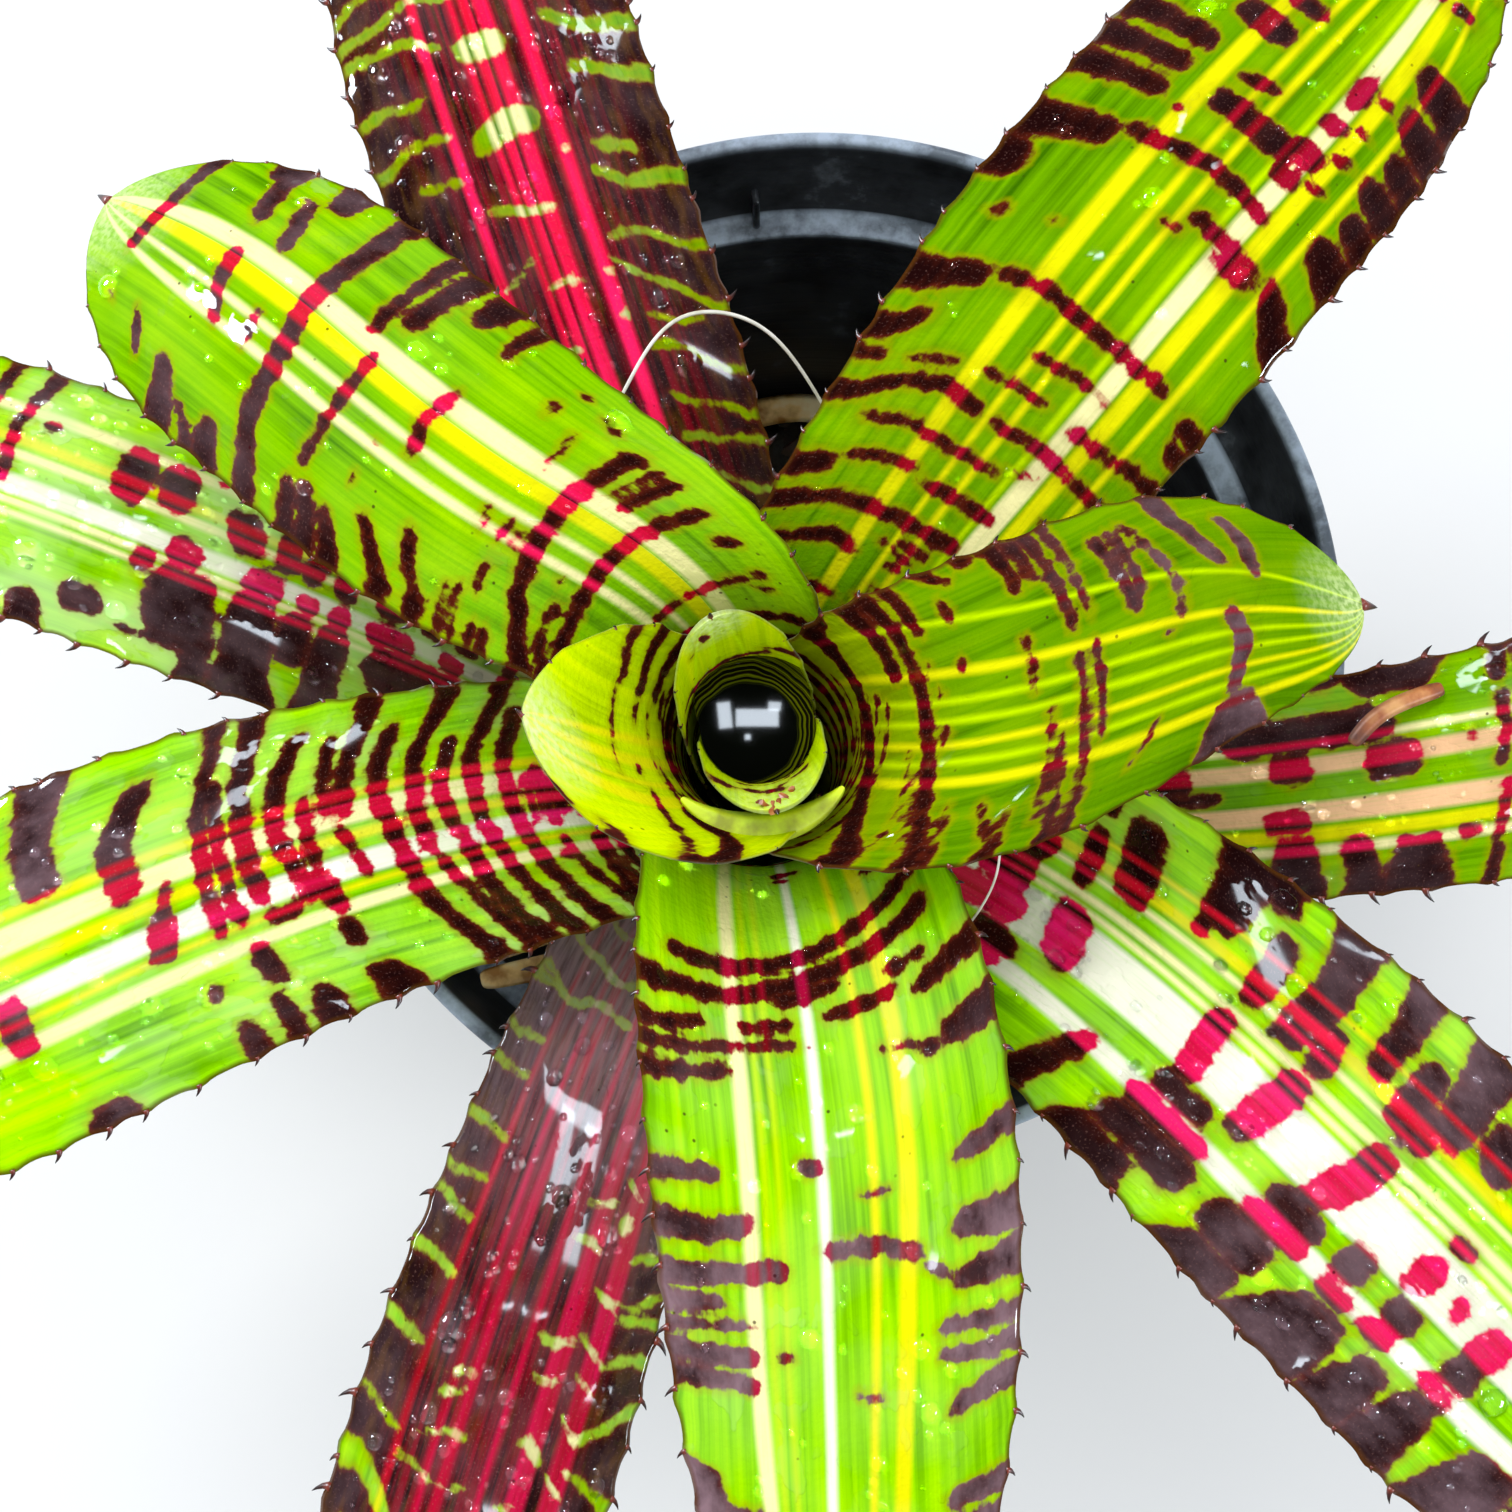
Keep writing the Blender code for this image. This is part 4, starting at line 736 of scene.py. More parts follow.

# %% [markdown]
# ## Leaf skin
#
# One recipe serves every leaf, and a short table gives each leaf its own doses. The recipe goes layer by
# layer, from below, as the real leaf is built: green tissue, the stripes that have no green, the red pigment
# of the bands, then what lies on top, which is dust, chalky scurf and rain water, with a painted sheen where
# the leaves are wet.
#
# Veins and cell rows all run along a leaf, so its streaks are noise stretched that way. Every grain is named
# in one table, with its real size in mm across and along.

# %% Grains and looks of the leaves
Grain = namedtuple("Grain", "across along scale detail rough", defaults=(2.0, 0.5))
GRAINS = {  # a grain is 1 / (scale * across) mm wide and 1 / (scale * along) mm long
    "streak": Grain(1.0, 0.012, 0.55, 3.0, 0.6),         # bundles of veins: 1.8 mm wide, 150 mm long
    "fibre": Grain(1.0, 0.05, 2.2),                      # single fibres: 0.45 by 9 mm
    "cloud": Grain(1.0, 0.6, 0.055),                     # lighter and darker patches: 18 by 30 mm
    "speckle": Grain(1.0, 1.0, 1.1),                     # cells and fine droplets: 0.9 mm
    "pools": Grain(1.0, 0.6, 0.16, 3.0, 0.6),            # patches of water film: 6 by 10 mm
    "wobble": Grain(0.3, 0.05, 0.5),                     # how a stripe's edge wanders: 7 by 40 mm
    "fine_edge": Grain(1.0, 0.3, 0.8, 3.0, 0.55),        # a band's ragged edge: 1.2 by 4 mm
    "coarse_edge": Grain(1.0, 0.7, 0.45, 3.0),           # the bays in that edge: 2.2 by 3 mm
    "flush": Grain(1.0, 0.02, 0.9, 3.0),                 # red veins of the dark leaves: 1.1 by 56 mm
    "olive": Grain(1.0, 0.3, 0.5, 3.0),                  # olive blotches of the dark leaves: 2 by 7 mm
    "dust": Grain(1.0, 1.0, 2.6, 1.0),                   # single pale scales: 0.4 mm
    "scurf": Grain(1.0, 0.1, 1.2, 3.0),                  # scurf at the neck of old leaves: 0.8 by 8 mm
    "veil": Grain(1.0, 0.7, 0.07, 3.0),                  # patches of painted sheen under the film: 14 by 20 mm
    "band_sheen_patch": Grain(1.0, 0.6, 0.16, 4.0, 0.6),             # patches of painted sheen on the bands: 6 by 10 mm
    "rare": Grain(1.0, 0.4, 0.12),                       # where dark specks gather: 8 by 21 mm
}
GRAIN_SHIFT = (17.0, 31.0)  # mm by which a leaf's grains move from those of the next younger leaf
SPECKS_PER_MM = 0.33
GREENS = ("4a8800", "86cc00", "b6ee00")
YOUNG_GREENS = ("8cac00", "b8d800", "dcec00")
BAND_COLOURS = ("501e0c", "34100a", "1e0808")
RED_PIGMENT = ((0.52, 0.004, 0.03, 1.0), (0.78, 0.007, 0.09, 1.0), (1.0, 0.014, 0.2, 1.0))  # linear factors
FRINGE, OLIVE, FLUSH, DUST = "6e2412", "5c3c0a", "8e0a20", "c08a80"
# The last two colours are painted sheen: the pale haze that wet skin shows, over green and over the bands.
SMOKE, HALO, FILM_SHEEN, BAND_SHEEN = "4a3a08", "a4a000", "d2f6a8", "8c7078"
TIP_PALE, SPECK, BROWN_MARGIN, SCURF = "e6fab0", "3a0c12", "5a3410", "8f9a78"
# A look's fourth to sixth numbers dose the painted sheen: over wet green, and over the bands from a place along
# the leaf on.
Look = namedtuple(
    "Look", "light red wet milk frost_from frost neck neck_reach neck_dose tip_reach tip_dose smoke")
# The seventh number is the neck colour: lightened on the young leaves (painted light), dark on most old ones
# (painted shade near the cup).
LOOKS = {
    "leaf_01": Look(1.02, 0.50, .15, .0, 60, .1, "c4cc00", 32, .9, 12, .5, .1),
    "leaf_02": Look(1.00, 0.50, .15, .0, 60, .1, "c4cc00", 32, .8, 8, 1.0, .1),
    "leaf_03": Look(1.12, 0.50, .15, .0, 90, .1, "d4dc00", 44, .8, 12, 1.0, .1),
    "leaf_04": Look(0.49, 0.36, .15, .0, 112, .7, "b0b400", 50, .9, 13, .9, .15),
    "leaf_05": Look(0.85, 0.98, .15, .05, 130, .4, "a8bc00", 46, .7, 18, .9, .15),
    "leaf_06": Look(1.10, 0.50, .30, .2, 108, 1.0, "a0c400", 36, .6, 10, .3, .1),
    "leaf_07": Look(0.61, 0.50, .15, .0, 160, .1, "8ca800", 32, .6, 10, .3, .35),
    "leaf_08": Look(1.18, 0.88, .45, .4, 126, .6, "3c4a08", 38, .7, 10, .3, .2),
    "leaf_09": Look(1.18, 0.97, .55, .15, 124, .5, "6a5a10", 30, .4, 10, .3, .3),
    "leaf_10": Look(0.61, 1.35, .50, .15, 80, .15, "6a5a10", 30, .4, 10, .3, .3),
    "leaf_11": Look(1.10, 0.66, .88, .2, 60, .2, "a48a94", 80, .9, 10, .3, .4),
    "leaf_12": Look(0.70, 0.76, .35, .1, 90, .15, "3c1a14", 50, .6, 10, .3, .3),
    "leaf_13": Look(1.08, 0.92, .75, .6, 90, .3, "6a3434", 70, .7, 10, .3, .2),
}
for name, size in GRAINS.items():
    print(name, "is", round(1 / size.scale / size.across, 1), "by", round(1 / size.scale / size.along, 1), "mm")

# %% [markdown]
# ### What the points of a leaf carry
#
# The mesh stores each point's place on its leaf in mm, the doses of tip, neck and underside, and the signed
# distance to the nearest band. All other layers are grown from these and from the grains. Every leaf shifts
# its grains by its own number, so no two look alike.

# %% Leaf skin: shared patterns
def grain(p, name):
    """Noise of a named grain, in the leaf's own millimetres."""
    across, along, scale, detail, rough = GRAINS[name]
    scaled = add(p.tree, "VectorMath", (p.flat, (across, along, 0)), operation="MULTIPLY")
    return add(p.tree, "TexNoise", {"Vector": scaled, "Scale": scale, "Detail": detail, "Roughness": rough})


def leaf_patterns(tree, layer):
    """What several layers of a leaf's skin share: the stored fields and five grains, under short names."""
    place = add(tree, "Attribute", out="Vector", attribute_name="leaf_place")
    tone = add(tree, "Attribute", out="Vector", attribute_name="leaf_tone")
    shift = (GRAIN_SHIFT[0] * layer, GRAIN_SHIFT[1] * layer, 0.0)
    own = add(tree, "VectorMath", (place, shift), operation="ADD")
    flat = add(tree, "VectorMath", (own, (1, 1, 0)), operation="MULTIPLY")
    p = SimpleNamespace(tree=tree, flat=flat)
    _, p.along, p.across = add(tree, "SeparateXYZ", (place,)).node.outputs
    p.tip, p.neck, p.under = add(tree, "SeparateXYZ", (tone,)).node.outputs
    p.streak, p.fibre, p.cloud, p.speckle, p.pools = (
        grain(p, name) for name in ("streak", "fibre", "cloud", "speckle", "pools"))
    return p


print("the oldest leaf shifts its grains by", [(len(LEAVES) - 1) * part for part in GRAIN_SHIFT], "mm")

# %% [markdown]
# ### Green, stripes, neck and tip
#
# The green runs from deep to lime with the streaks. A stripe is cream or yellow because its cells hold no
# green, so a colour ramp across the leaf lays it over the green, and the ramp's alpha says where there is a
# stripe. The neck is yellow on young leaves, lightened to make up for the shade deep in the cup: their own
# yellow and painted light. On most old leaves the neck is dark, which is painted shade near the cup. The tip
# of a leaf is chalky.

# %% Leaf skin: green ground and stripes
def stripe_stops(stripes, half):
    """Ramp stops for stripes across a leaf, as places and colours. A stripe fades in over 0.8 mm, holds and
    fades out. Between stripes alpha is 0. Stops keep 0.001 apart, also where two stripes meet."""
    places, colours = [], []
    for centre, width, colour in sorted(stripes):
        full = max(width / 2 - 0.35, 0.05) / half
        fade = full + 0.8 / half
        for offset, alpha in ((-fade, 0.0), (-full, 1.0), (full, 1.0), (fade, 0.0)):
            least = places[-1] + 0.001 if places else 0.0
            places.append(max((centre + offset + 1.0) / 2.0, least))
            colours.append(linear(colour, alpha))
    return places, colours


def leaf_ground(p, shape, look):
    """The green with its stripes, the neck's colour, partly painted light and shade, and the tip's chalk. p.pale
    is the share of stripe.
    """
    tree = p.tree
    patches = add(tree, "Math", (p.cloud, 0.45), operation="MULTIPLY")
    mixed = add(tree, "Math", (p.streak, 0.55, patches), operation="MULTIPLY_ADD")
    tones = YOUNG_GREENS if shape.layer < 3 else GREENS
    green = set_stops(add(tree, "ValToRGB", (mixed,)), (0.34, 0.48, 0.66), map(linear, tones))
    ground = add(tree, "Mix", {0: 1.0, 6: green, 7: (*3 * (look.light,), 1.0)}, 2, data_type="RGBA",
                 blend_type="MULTIPLY")

    stripes, read_at, drift = STRIPES[shape.leaf.name]
    ahead = add(tree, "Math", (p.along, -read_at), operation="ADD")
    drifted = add(tree, "Math", (ahead, -drift / 100.0, p.across), operation="MULTIPLY_ADD")
    wandering = add(tree, "Math", (grain(p, "wobble"), 0.05, drifted), operation="MULTIPLY_ADD")
    across = add(tree, "MapRange", (wandering, -0.975, 1.025))
    p.stripe = set_stops(add(tree, "ValToRGB", (across,)), *stripe_stops(stripes, shape.leaf.width / 2))
    strength = add(tree, "MapRange", (p.fibre, 0.25, 0.5, 0.82))
    p.pale = add(tree, "Math", (p.stripe.node.outputs["Alpha"], strength), operation="MULTIPLY")

    chalk = add(tree, "MapRange", (p.speckle, 0.38, 0.62, 0.35))
    chalk = add(tree, "Math", (p.tip, chalk), operation="MULTIPLY")
    # The neck colour here is partly painted light and shade: lighter on young leaves, darker on old ones.
    for dose, paint in ((p.pale, p.stripe), (p.neck, linear(look.neck)), (chalk, linear(TIP_PALE))):
        ground = add(tree, "Mix", {0: dose, 6: ground, 7: paint}, 2, data_type="RGBA")
    return ground


most = max(len(stripe_stops(STRIPES[leaf.name][0], leaf.width / 2)[0]) for leaf in LEAVES)
print("a leaf's ramp has up to", most, "stops, of the 32 that a ramp can hold")

# %% [markdown]
# ### The bands
#
# The stored distance is smooth, and a real band's edge isn't: it breaks up between the veins. So two grains
# of noise push it to and fro by about a millimetre, and a smooth step across zero gives the edge. Over green
# the pigment looks maroon, nearly black deep inside and rusty at its fringe. Over a pale stripe it multiplies
# the stripe's own colour, which gives crimson. The two dark leaves show red veins and olive blotches in their
# maroon.

# %% Leaf skin: bands
def leaf_bands(p, shape, look):
    """The colour of a band at any place, with p.field its roughened distance in mm and p.inside its edge."""
    tree = p.tree
    dark_leaf = shape.leaf.name in GAPS
    band = add(tree, "Attribute", out="Fac", attribute_name="band")
    ragged = add(tree, "Math", (grain(p, "fine_edge"), 1.2, band), operation="MULTIPLY_ADD")
    ragged = add(tree, "Math", (grain(p, "coarse_edge"), 2.3, ragged), operation="MULTIPLY_ADD")
    p.field = add(tree, "Math", (ragged, 1.7), operation="SUBTRACT")
    soft = 0.4 if dark_leaf else 0.2 + 0.4 * look.smoke
    p.inside = add(tree, "MapRange", (p.field, -soft, soft), interpolation_type="SMOOTHSTEP")

    deep = add(tree, "MapRange", (p.field, 0.0, 3.0, 0.0, 0.5))
    deep = add(tree, "Math", (p.streak, 1.1, deep), operation="MULTIPLY_ADD")
    colour = set_stops(add(tree, "ValToRGB", (deep,)), (0.42, 0.6, 0.95), map(linear, BAND_COLOURS))
    fringe = add(tree, "MapRange", (p.field, 0.9, 0.1, 0.0, 0.55))
    layers = [(fringe, linear(FRINGE))]
    if dark_leaf:
        heart = add(tree, "Math", (p.across,), operation="ABSOLUTE")
        heart = add(tree, "MapRange", (heart, 0.8, 0.4, 0.0, 0.9))
        veins = add(tree, "MapRange", (grain(p, "flush"), 0.42, 0.62))
        flush = add(tree, "Math", (veins, heart), operation="MULTIPLY")
        olive = add(tree, "MapRange", (grain(p, "olive"), 0.48, 0.66, 0.0, 0.6))
        layers += [(olive, linear(OLIVE)), (flush, linear(FLUSH))]

    dust = add(tree, "MapRange", (grain(p, "dust"), 0.6, 0.75, 0.0, 0.13))
    layers += [(p.pale, leaf_crimson(p, look)), (dust, linear(DUST))]
    # Scurf near the neck of the oldest leaves takes the neck colour, so near the cup it is partly painted shade.
    if shape.layer > 9:
        scurf = add(tree, "MapRange", (grain(p, "scurf"), 0.35, 0.6, 0.45))
        layers += [(add(tree, "Math", (p.neck, scurf), operation="MULTIPLY"), linear(look.neck))]
    for dose, paint in layers:
        colour = add(tree, "Mix", {0: dose, 6: colour, 7: paint}, 2, data_type="RGBA")
    return colour


def leaf_crimson(p, look):
    """Red pigment over a pale stripe: the stripe's colour times the pigment's, then 0.3 of the way to the pure
    pigment, and times the leaf's own dose of red."""
    rose = add(p.tree, "Math", (p.streak, 0.5), operation="MULTIPLY")
    rose = add(p.tree, "Math", (p.cloud, 0.5, rose), operation="MULTIPLY_ADD")
    pigment = set_stops(add(p.tree, "ValToRGB", (rose,)), (0.38, 0.5, 0.62), RED_PIGMENT)
    colour = p.stripe
    for dose, paint, blend in (
            (1.0, pigment, "MULTIPLY"), (0.3, pigment, "MIX"), (1.0, (*3 * (look.red,), 1.0), "MULTIPLY")):
        colour = add(p.tree, "Mix", {0: dose, 6: colour, 7: paint}, 2, data_type="RGBA", blend_type=blend)
    return colour


print("dark leaves, listed by their gaps:", list(GAPS))

# %% [markdown]
# ### What lies on the leaf
#
# Beside a band the green turns smoky within 3 mm and yellow-green within 1 mm. Rain water stands on the leaf
# as a film, in pools about 6 by 10 mm: that is a clear coat over the skin, seen by its own reflections. Under
# the film some leaves get a pale veil, which is painted sheen: the haze of the sky on wet skin. The bands of
# some leaves get a violet-grey painted sheen toward the tip, more on maroon than on crimson.

# %% Leaf skin: smoke, halo, film and painted sheen
def leaf_cover(p, look, ground, band):
    """Ground and bands joined, with smoke, halo and a painted sheen over the ground, and a painted sheen over
    the bands. p.film is 1 where water stands."""
    tree = p.tree
    smoke = add(tree, "MapRange", (p.field, -3.0, 0.0, 0.0, look.smoke))
    patchy = add(tree, "MapRange", (p.cloud, 0.35, 0.6))
    smoke = add(tree, "Math", (smoke, patchy), operation="MULTIPLY")
    halo = add(tree, "MapRange", (p.field, -1.1, -0.1, 0.0, 0.55))
    not_pale = add(tree, "Math", (1.0, p.pale), operation="SUBTRACT")
    halo = add(tree, "Math", (halo, not_pale), operation="MULTIPLY")

    dry_until = 0.64 - 0.26 * look.wet
    wet_from = 0.67 - 0.26 * look.wet
    p.film = add(tree, "MapRange", (p.pools, dry_until, wet_from), interpolation_type="SMOOTHSTEP")
    # A pale veil painted where water stands: painted sheen of the wet film.
    veil = add(tree, "MapRange", (grain(p, "veil"), 0.42, 0.62))
    milk = add(tree, "Math", (veil, look.milk), operation="MULTIPLY")
    wetter = add(tree, "MapRange", (p.film, 0.0, 1.0, 0.35, 0.8))
    milk = add(tree, "Math", (milk, wetter), operation="MULTIPLY")
    for dose, paint in ((smoke, SMOKE), (halo, HALO), (milk, FILM_SHEEN)):
        ground = add(tree, "Mix", {0: dose, 6: ground, 7: linear(paint)}, 2, data_type="RGBA")

    # Painted sheen on the bands, growing toward the tip: the violet-grey haze that wet bands show.
    reach = add(tree, "MapRange", (p.along, look.frost_from - 12.0, look.frost_from + 22.0, 0.0, look.frost))
    band_sheen_patch = add(tree, "MapRange", (grain(p, "band_sheen_patch"), 0.38, 0.66, 0.1))
    bare = add(tree, "MapRange", (p.pale, 0.0, 1.0, 1.0, 0.3))
    band_sheen_patch = add(tree, "Math", (band_sheen_patch, bare), operation="MULTIPLY")
    band_sheen_patch = add(tree, "Math", (band_sheen_patch, reach), operation="MULTIPLY")
    band = add(tree, "Mix", {0: band_sheen_patch, 6: band, 7: linear(BAND_SHEEN)}, 2, data_type="RGBA")
    return add(tree, "Mix", {0: p.inside, 6: ground, 7: band}, 2, data_type="RGBA")


print("the wettest leaf is", max(LOOKS, key=lambda name: LOOKS[name].wet))

# %% [markdown]
# ### Specks, margin, underside and gloss
#
# Dark specks under a millimetre wide gather in a few places. The margin is a brown line, and the underside is
# grey with scurf. Pools are smooth and stand a little proud, while the dry skin between them is grainy. The
# skin itself has no mirror gloss: what shines on this plant is water.

# %% Leaf skin: the whole recipe
def leaf_skin(shape, look):
    """The skin of one leaf. Its look gives the doses: the green's lightness, red, wetness, frost and so on."""
    skin, tree, shader = new_skin("skin_" + shape.leaf.name, {
        "Coat Roughness": 0.05, "Coat IOR": 1.42, "Specular IOR Level": 0.0})
    p = leaf_patterns(tree, shape.layer)
    ground = leaf_ground(p, shape, look)
    colour = leaf_cover(p, look, ground, leaf_bands(p, shape, look))

    speck = add(tree, "TexVoronoi", {"Vector": p.flat, "Scale": SPECKS_PER_MM, "Randomness": 1.0}, "Distance")
    speck = add(tree, "MapRange", (speck, 0.10, 0.05, 0.0, 0.8))
    rare = add(tree, "MapRange", (grain(p, "rare"), 0.52, 0.6))
    speck = add(tree, "Math", (speck, rare), operation="MULTIPLY")
    edge = add(tree, "Math", (p.across,), operation="ABSOLUTE")
    edge = add(tree, "MapRange", (edge, 0.965, 0.99, 0.0, 0.3 if shape.layer < 3 else 0.75))
    under = add(tree, "Math", (p.under, 0.45), operation="MULTIPLY")
    for dose, paint in ((speck, SPECK), (edge, BROWN_MARGIN), (under, SCURF)):
        colour = add(tree, "Mix", {0: dose, 6: colour, 7: linear(paint)}, 2, data_type="RGBA")

    gloss = add(tree, "MapRange", (p.film, 0.0, 1.0, 0.45, 0.3))
    relief = add(tree, "Math", (p.fibre, 0.35, p.speckle), operation="MULTIPLY_ADD")
    relief = add(tree, "Mix", {0: p.film, 2: relief, 3: 1.1})
    relief = add(tree, "Math", (p.pools, 2.2, relief), operation="MULTIPLY_ADD")
    bump = add(tree, "Bump", {"Height": relief, "Strength": 0.5, "Distance": 0.0004})
    plug(shader, {"Base Color": colour, "Coat Weight": p.film, "Roughness": gloss, "Normal": bump})
    return skin


def spine_skin():
    """Horn of the spines: crimson at the root, dark brown at the point, as the spine_share attribute rises."""
    skin, tree, shader = new_skin("spine_horn", {"Roughness": 0.4})
    share = add(tree, "Attribute", out="Fac", attribute_name="spine_share")
    tones = map(linear, ("8a3420", "4a1c14", "1e0c08"))
    plug(shader, {"Base Color": set_stops(add(tree, "ValToRGB", (share,)), (0.15, 0.5, 0.9), tones)})
    return skin


HORN = spine_skin()
print("horn nodes:", len(HORN.node_tree.nodes))

# %% [markdown]
# ## The leaves
#
# Each leaf is two sheets of the same grid, one for its upper face and one for its underside, joined round the
# border. Rows are close together on the blade, where the bands are, and closest at the tip. The spines stand
# in the margin's steps: a real one is a horny hook that leans toward the tip.

# %% Leaf mesh
SLOTS = {"leaf_01": "young_leaf", "leaf_02": "young_leaf", "leaf_03": "young_leaf", "leaf_10": "dark_leaf",
         "leaf_11": "dark_leaf", "leaf_12": "old_leaf", "leaf_13": "old_leaf"}
COLUMNS = 46
SHEATH_ROWS = 12
BLADE_STEP = 0.88
TIP_ROWS = 16
TIP_LENGTH = 9.0
TIP_OPEN = 0.004
NECK_MIDDLE = 6.0
SPINE_LENGTH = {"young_leaf": 0.9, "banded_leaf": 1.5, "dark_leaf": 1.9, "old_leaf": 1.9}
TIP_SPINE = {"young_leaf": 1.4, "banded_leaf": 3.4, "dark_leaf": 3.4, "old_leaf": 3.4}
SPINE_SIDES = 6
SPINE_SHARES = np.array([0.0, 0.22, 0.5, 0.8, 1.0])


def leaf_rows(shape):
    """Rows along the leaf: few in the sheath, even on the blade, and ever closer over its last 9 mm."""
    blade_end = shape.length - TIP_LENGTH
    count = int((blade_end - shape.sheath) / BLADE_STEP)
    tip = blade_end + (TIP_LENGTH - TIP_OPEN) * (1.0 - (1.0 - np.linspace(0.0, 1.0, TIP_ROWS)) ** 1.8)
    return np.concatenate([np.linspace(0.0, shape.sheath, SHEATH_ROWS)[:-1],
                           np.linspace(shape.sheath, blade_end, count)[:-1], tip])


def leaf_sheets(shape):
    """Points, faces and grid coordinates of a leaf: the upper sheet, the lower one, and a rim round both."""
    spread = np.linspace(-1.0, 1.0, COLUMNS)
    along, across = np.meshgrid(leaf_rows(shape), spread * (1.1 - 0.1 * spread**2), indexing="ij")
    middle, _, _, out = frame_at(shape, along, across)
    offset = 0.5 * thickness(across)[..., None] * out
    points = np.concatenate([(middle + offset).reshape(-1, 3), (middle - offset).reshape(-1, 3)])
    rows, count = len(along), along.size
    index = np.arange(count).reshape(rows, COLUMNS)
    ring = np.concatenate([index[0, :-1], index[:-1, -1], index[-1, :0:-1], index[:0:-1, 0]])
    after = np.roll(ring, -1)
    upper = grid_faces(rows, COLUMNS)
    rim = np.stack([ring, after, count + after, count + ring], axis=-1)
    faces = np.concatenate([upper, count + upper[:, ::-1], rim])
    return points, faces.tolist(), along, across


def leaf_spines(shape, first):
    """Horny spines on both margins and one at the tip, with how far up its spine each point is. At a share q of
    a spine's length its middle is root + length (0.9 q side + 0.8 q squared forward). At the tip it is root +
    length (0.9 q side + q forward), where side is next to nothing."""
    draw = np.random.default_rng(300 + shape.layer)
    places = spine_places(shape)
    along = np.concatenate([places, places + draw.uniform(-2.0, 2.0, len(places)), [shape.length - 0.25]])
    across = np.concatenate([np.ones(len(places)), -np.ones(len(places)), [0.0]])
    root, forward, side, out = frame_at(shape, along, across)
    kind = SLOTS.get(shape.leaf.name, "banded_leaf")
    length = SPINE_LENGTH[kind] * draw.uniform(0.6, 1.3, len(along))
    length[-1] = TIP_SPINE[kind]
    length = length[:, None, None]
    side = side * across[:, None] + 0.12 * out * draw.uniform(-1.0, 1.0, (len(along), 1))
    root = root - 0.5 * side
    q = SPINE_SHARES[None, :, None]
    lean = np.where(across[:, None, None] == 0.0, q, 0.8 * q**2)
    centres = root[:, None] + length * (0.9 * q * side[:, None] + lean * forward[:, None])
    radii = (0.06 + 0.26 * length) * (1.0 - q) ** 0.8 + 0.05
    points, faces = swept(centres, radii, SPINE_SIDES, out, first)
    return points, faces, np.tile(np.repeat(SPINE_SHARES, SPINE_SIDES), len(along))


def point_attribute(mesh, name, values):
    """Stores an array on the mesh's points: single numbers, or rows of three."""
    kind, field = ("FLOAT", "value") if values.ndim == 1 else ("FLOAT_VECTOR", "vector")
    attribute = mesh.attributes.new(name, kind, "POINT")
    attribute.data.foreach_set(field, np.ascontiguousarray(values, float).ravel())


def build_leaf(shape):
    """One leaf as a piece: its sheets, its spines, its stored fields and its skin."""
    name, look = shape.leaf.name, LOOKS[shape.leaf.name]
    sheet_points, sheet_faces, along, across = leaf_sheets(shape)
    spine_points, spine_faces, share = leaf_spines(shape, len(sheet_points))
    points = np.concatenate([sheet_points, spine_points])
    piece = new_piece("blade_" + name, points, sheet_faces + spine_faces, [leaf_skin(shape, look), HORN])
    kinds = np.repeat([0, 1], [len(sheet_faces), len(spine_faces)])
    piece.data.polygons.foreach_set("material_index", kinds)

    beside = across * half_width(shape, along)
    away = np.hypot(shape.length - along, 1.3 * beside)
    tip = look.tip_dose * np.clip(1.0 - away / look.tip_reach, 0.0, 1.0)
    # The neck dose spreads the neck colour, which is partly painted light and shade, round the cup.
    past_neck = np.abs(along - shape.sheath - NECK_MIDDLE)
    neck = look.neck_dose * np.clip(1.3 - 1.3 * past_neck / look.neck_reach, 0.0, 1.0)
    places = np.stack([beside, along, across], axis=-1).reshape(-1, 3)
    tones = [np.stack([tip, neck, 0.0 * tip + side], axis=-1).reshape(-1, 3) for side in (0.0, 1.0)]
    field = band_field(shape, along, across).reshape(-1)
    on_spines = np.zeros((len(spine_points), 3))
    point_attribute(piece.data, "leaf_place", np.vstack([places, places, on_spines]))
    point_attribute(piece.data, "leaf_tone", np.vstack([*tones, on_spines]))
    point_attribute(piece.data, "band", np.concatenate([field, field, on_spines[:, 0]]))
    point_attribute(piece.data, "spine_share", np.concatenate([np.zeros(len(sheet_points)), share]))
    return seat(piece, name)


leaf_pieces = [build_leaf(shape) for shape in SHAPES]
print("leaves built:", len(leaf_pieces))

# %% [markdown]
# ## The pot
#
# A nursery pot is blow-moulded or injected from thin black plastic: a tapered wall, an inner ledge, and above
# it a wider band that ends in a rolled rim. One profile turned round the axis makes it all. The drain holes
# are cut with a Boolean, and the stacking ribs on the ledge are small rounded bars. The plastic is matt and
# nearly black, pale blue-grey on its rim and on the ledge's edge: partly wear, partly a painted highlight.

# %% Pot measures and profile
POT_HEIGHT = 130.0
RIM_RADIUS = 85.0
RIM_WALL = 2.3
BAND_HEIGHT = 18.0
BAND_FOOT_RADIUS = 79.8
LEDGE_OUTER = 78.1
LEDGE_INNER = 74.4
LEDGE_THICK = 2.0
LEDGE_TOP = POT_HEIGHT - BAND_HEIGHT
LEDGE_FOOT = LEDGE_TOP - LEDGE_THICK
POT_WALL = 1.6
BASE_RADIUS = 62.0
BASE_CORNER = 3.0
FLOOR_THICK = 2.6
POT_STEPS = 240
DRAIN_HOLES = {"count": 8, "radius": 4.5, "circle": 46.0}
RIBS = {"count": 8, "azimuth": 97.6, "thick": 1.2, "height": 10.0, "depth": 3.4, "sunk": 1.3}


def arc(radius, height, size, start, end, count=6):
    """Points of a rounded corner about (radius, height), from one angle in degrees to another."""
    angle = np.radians(np.linspace(start, end, count))
    return list(zip(radius + size * np.cos(angle), height + size * np.sin(angle)))


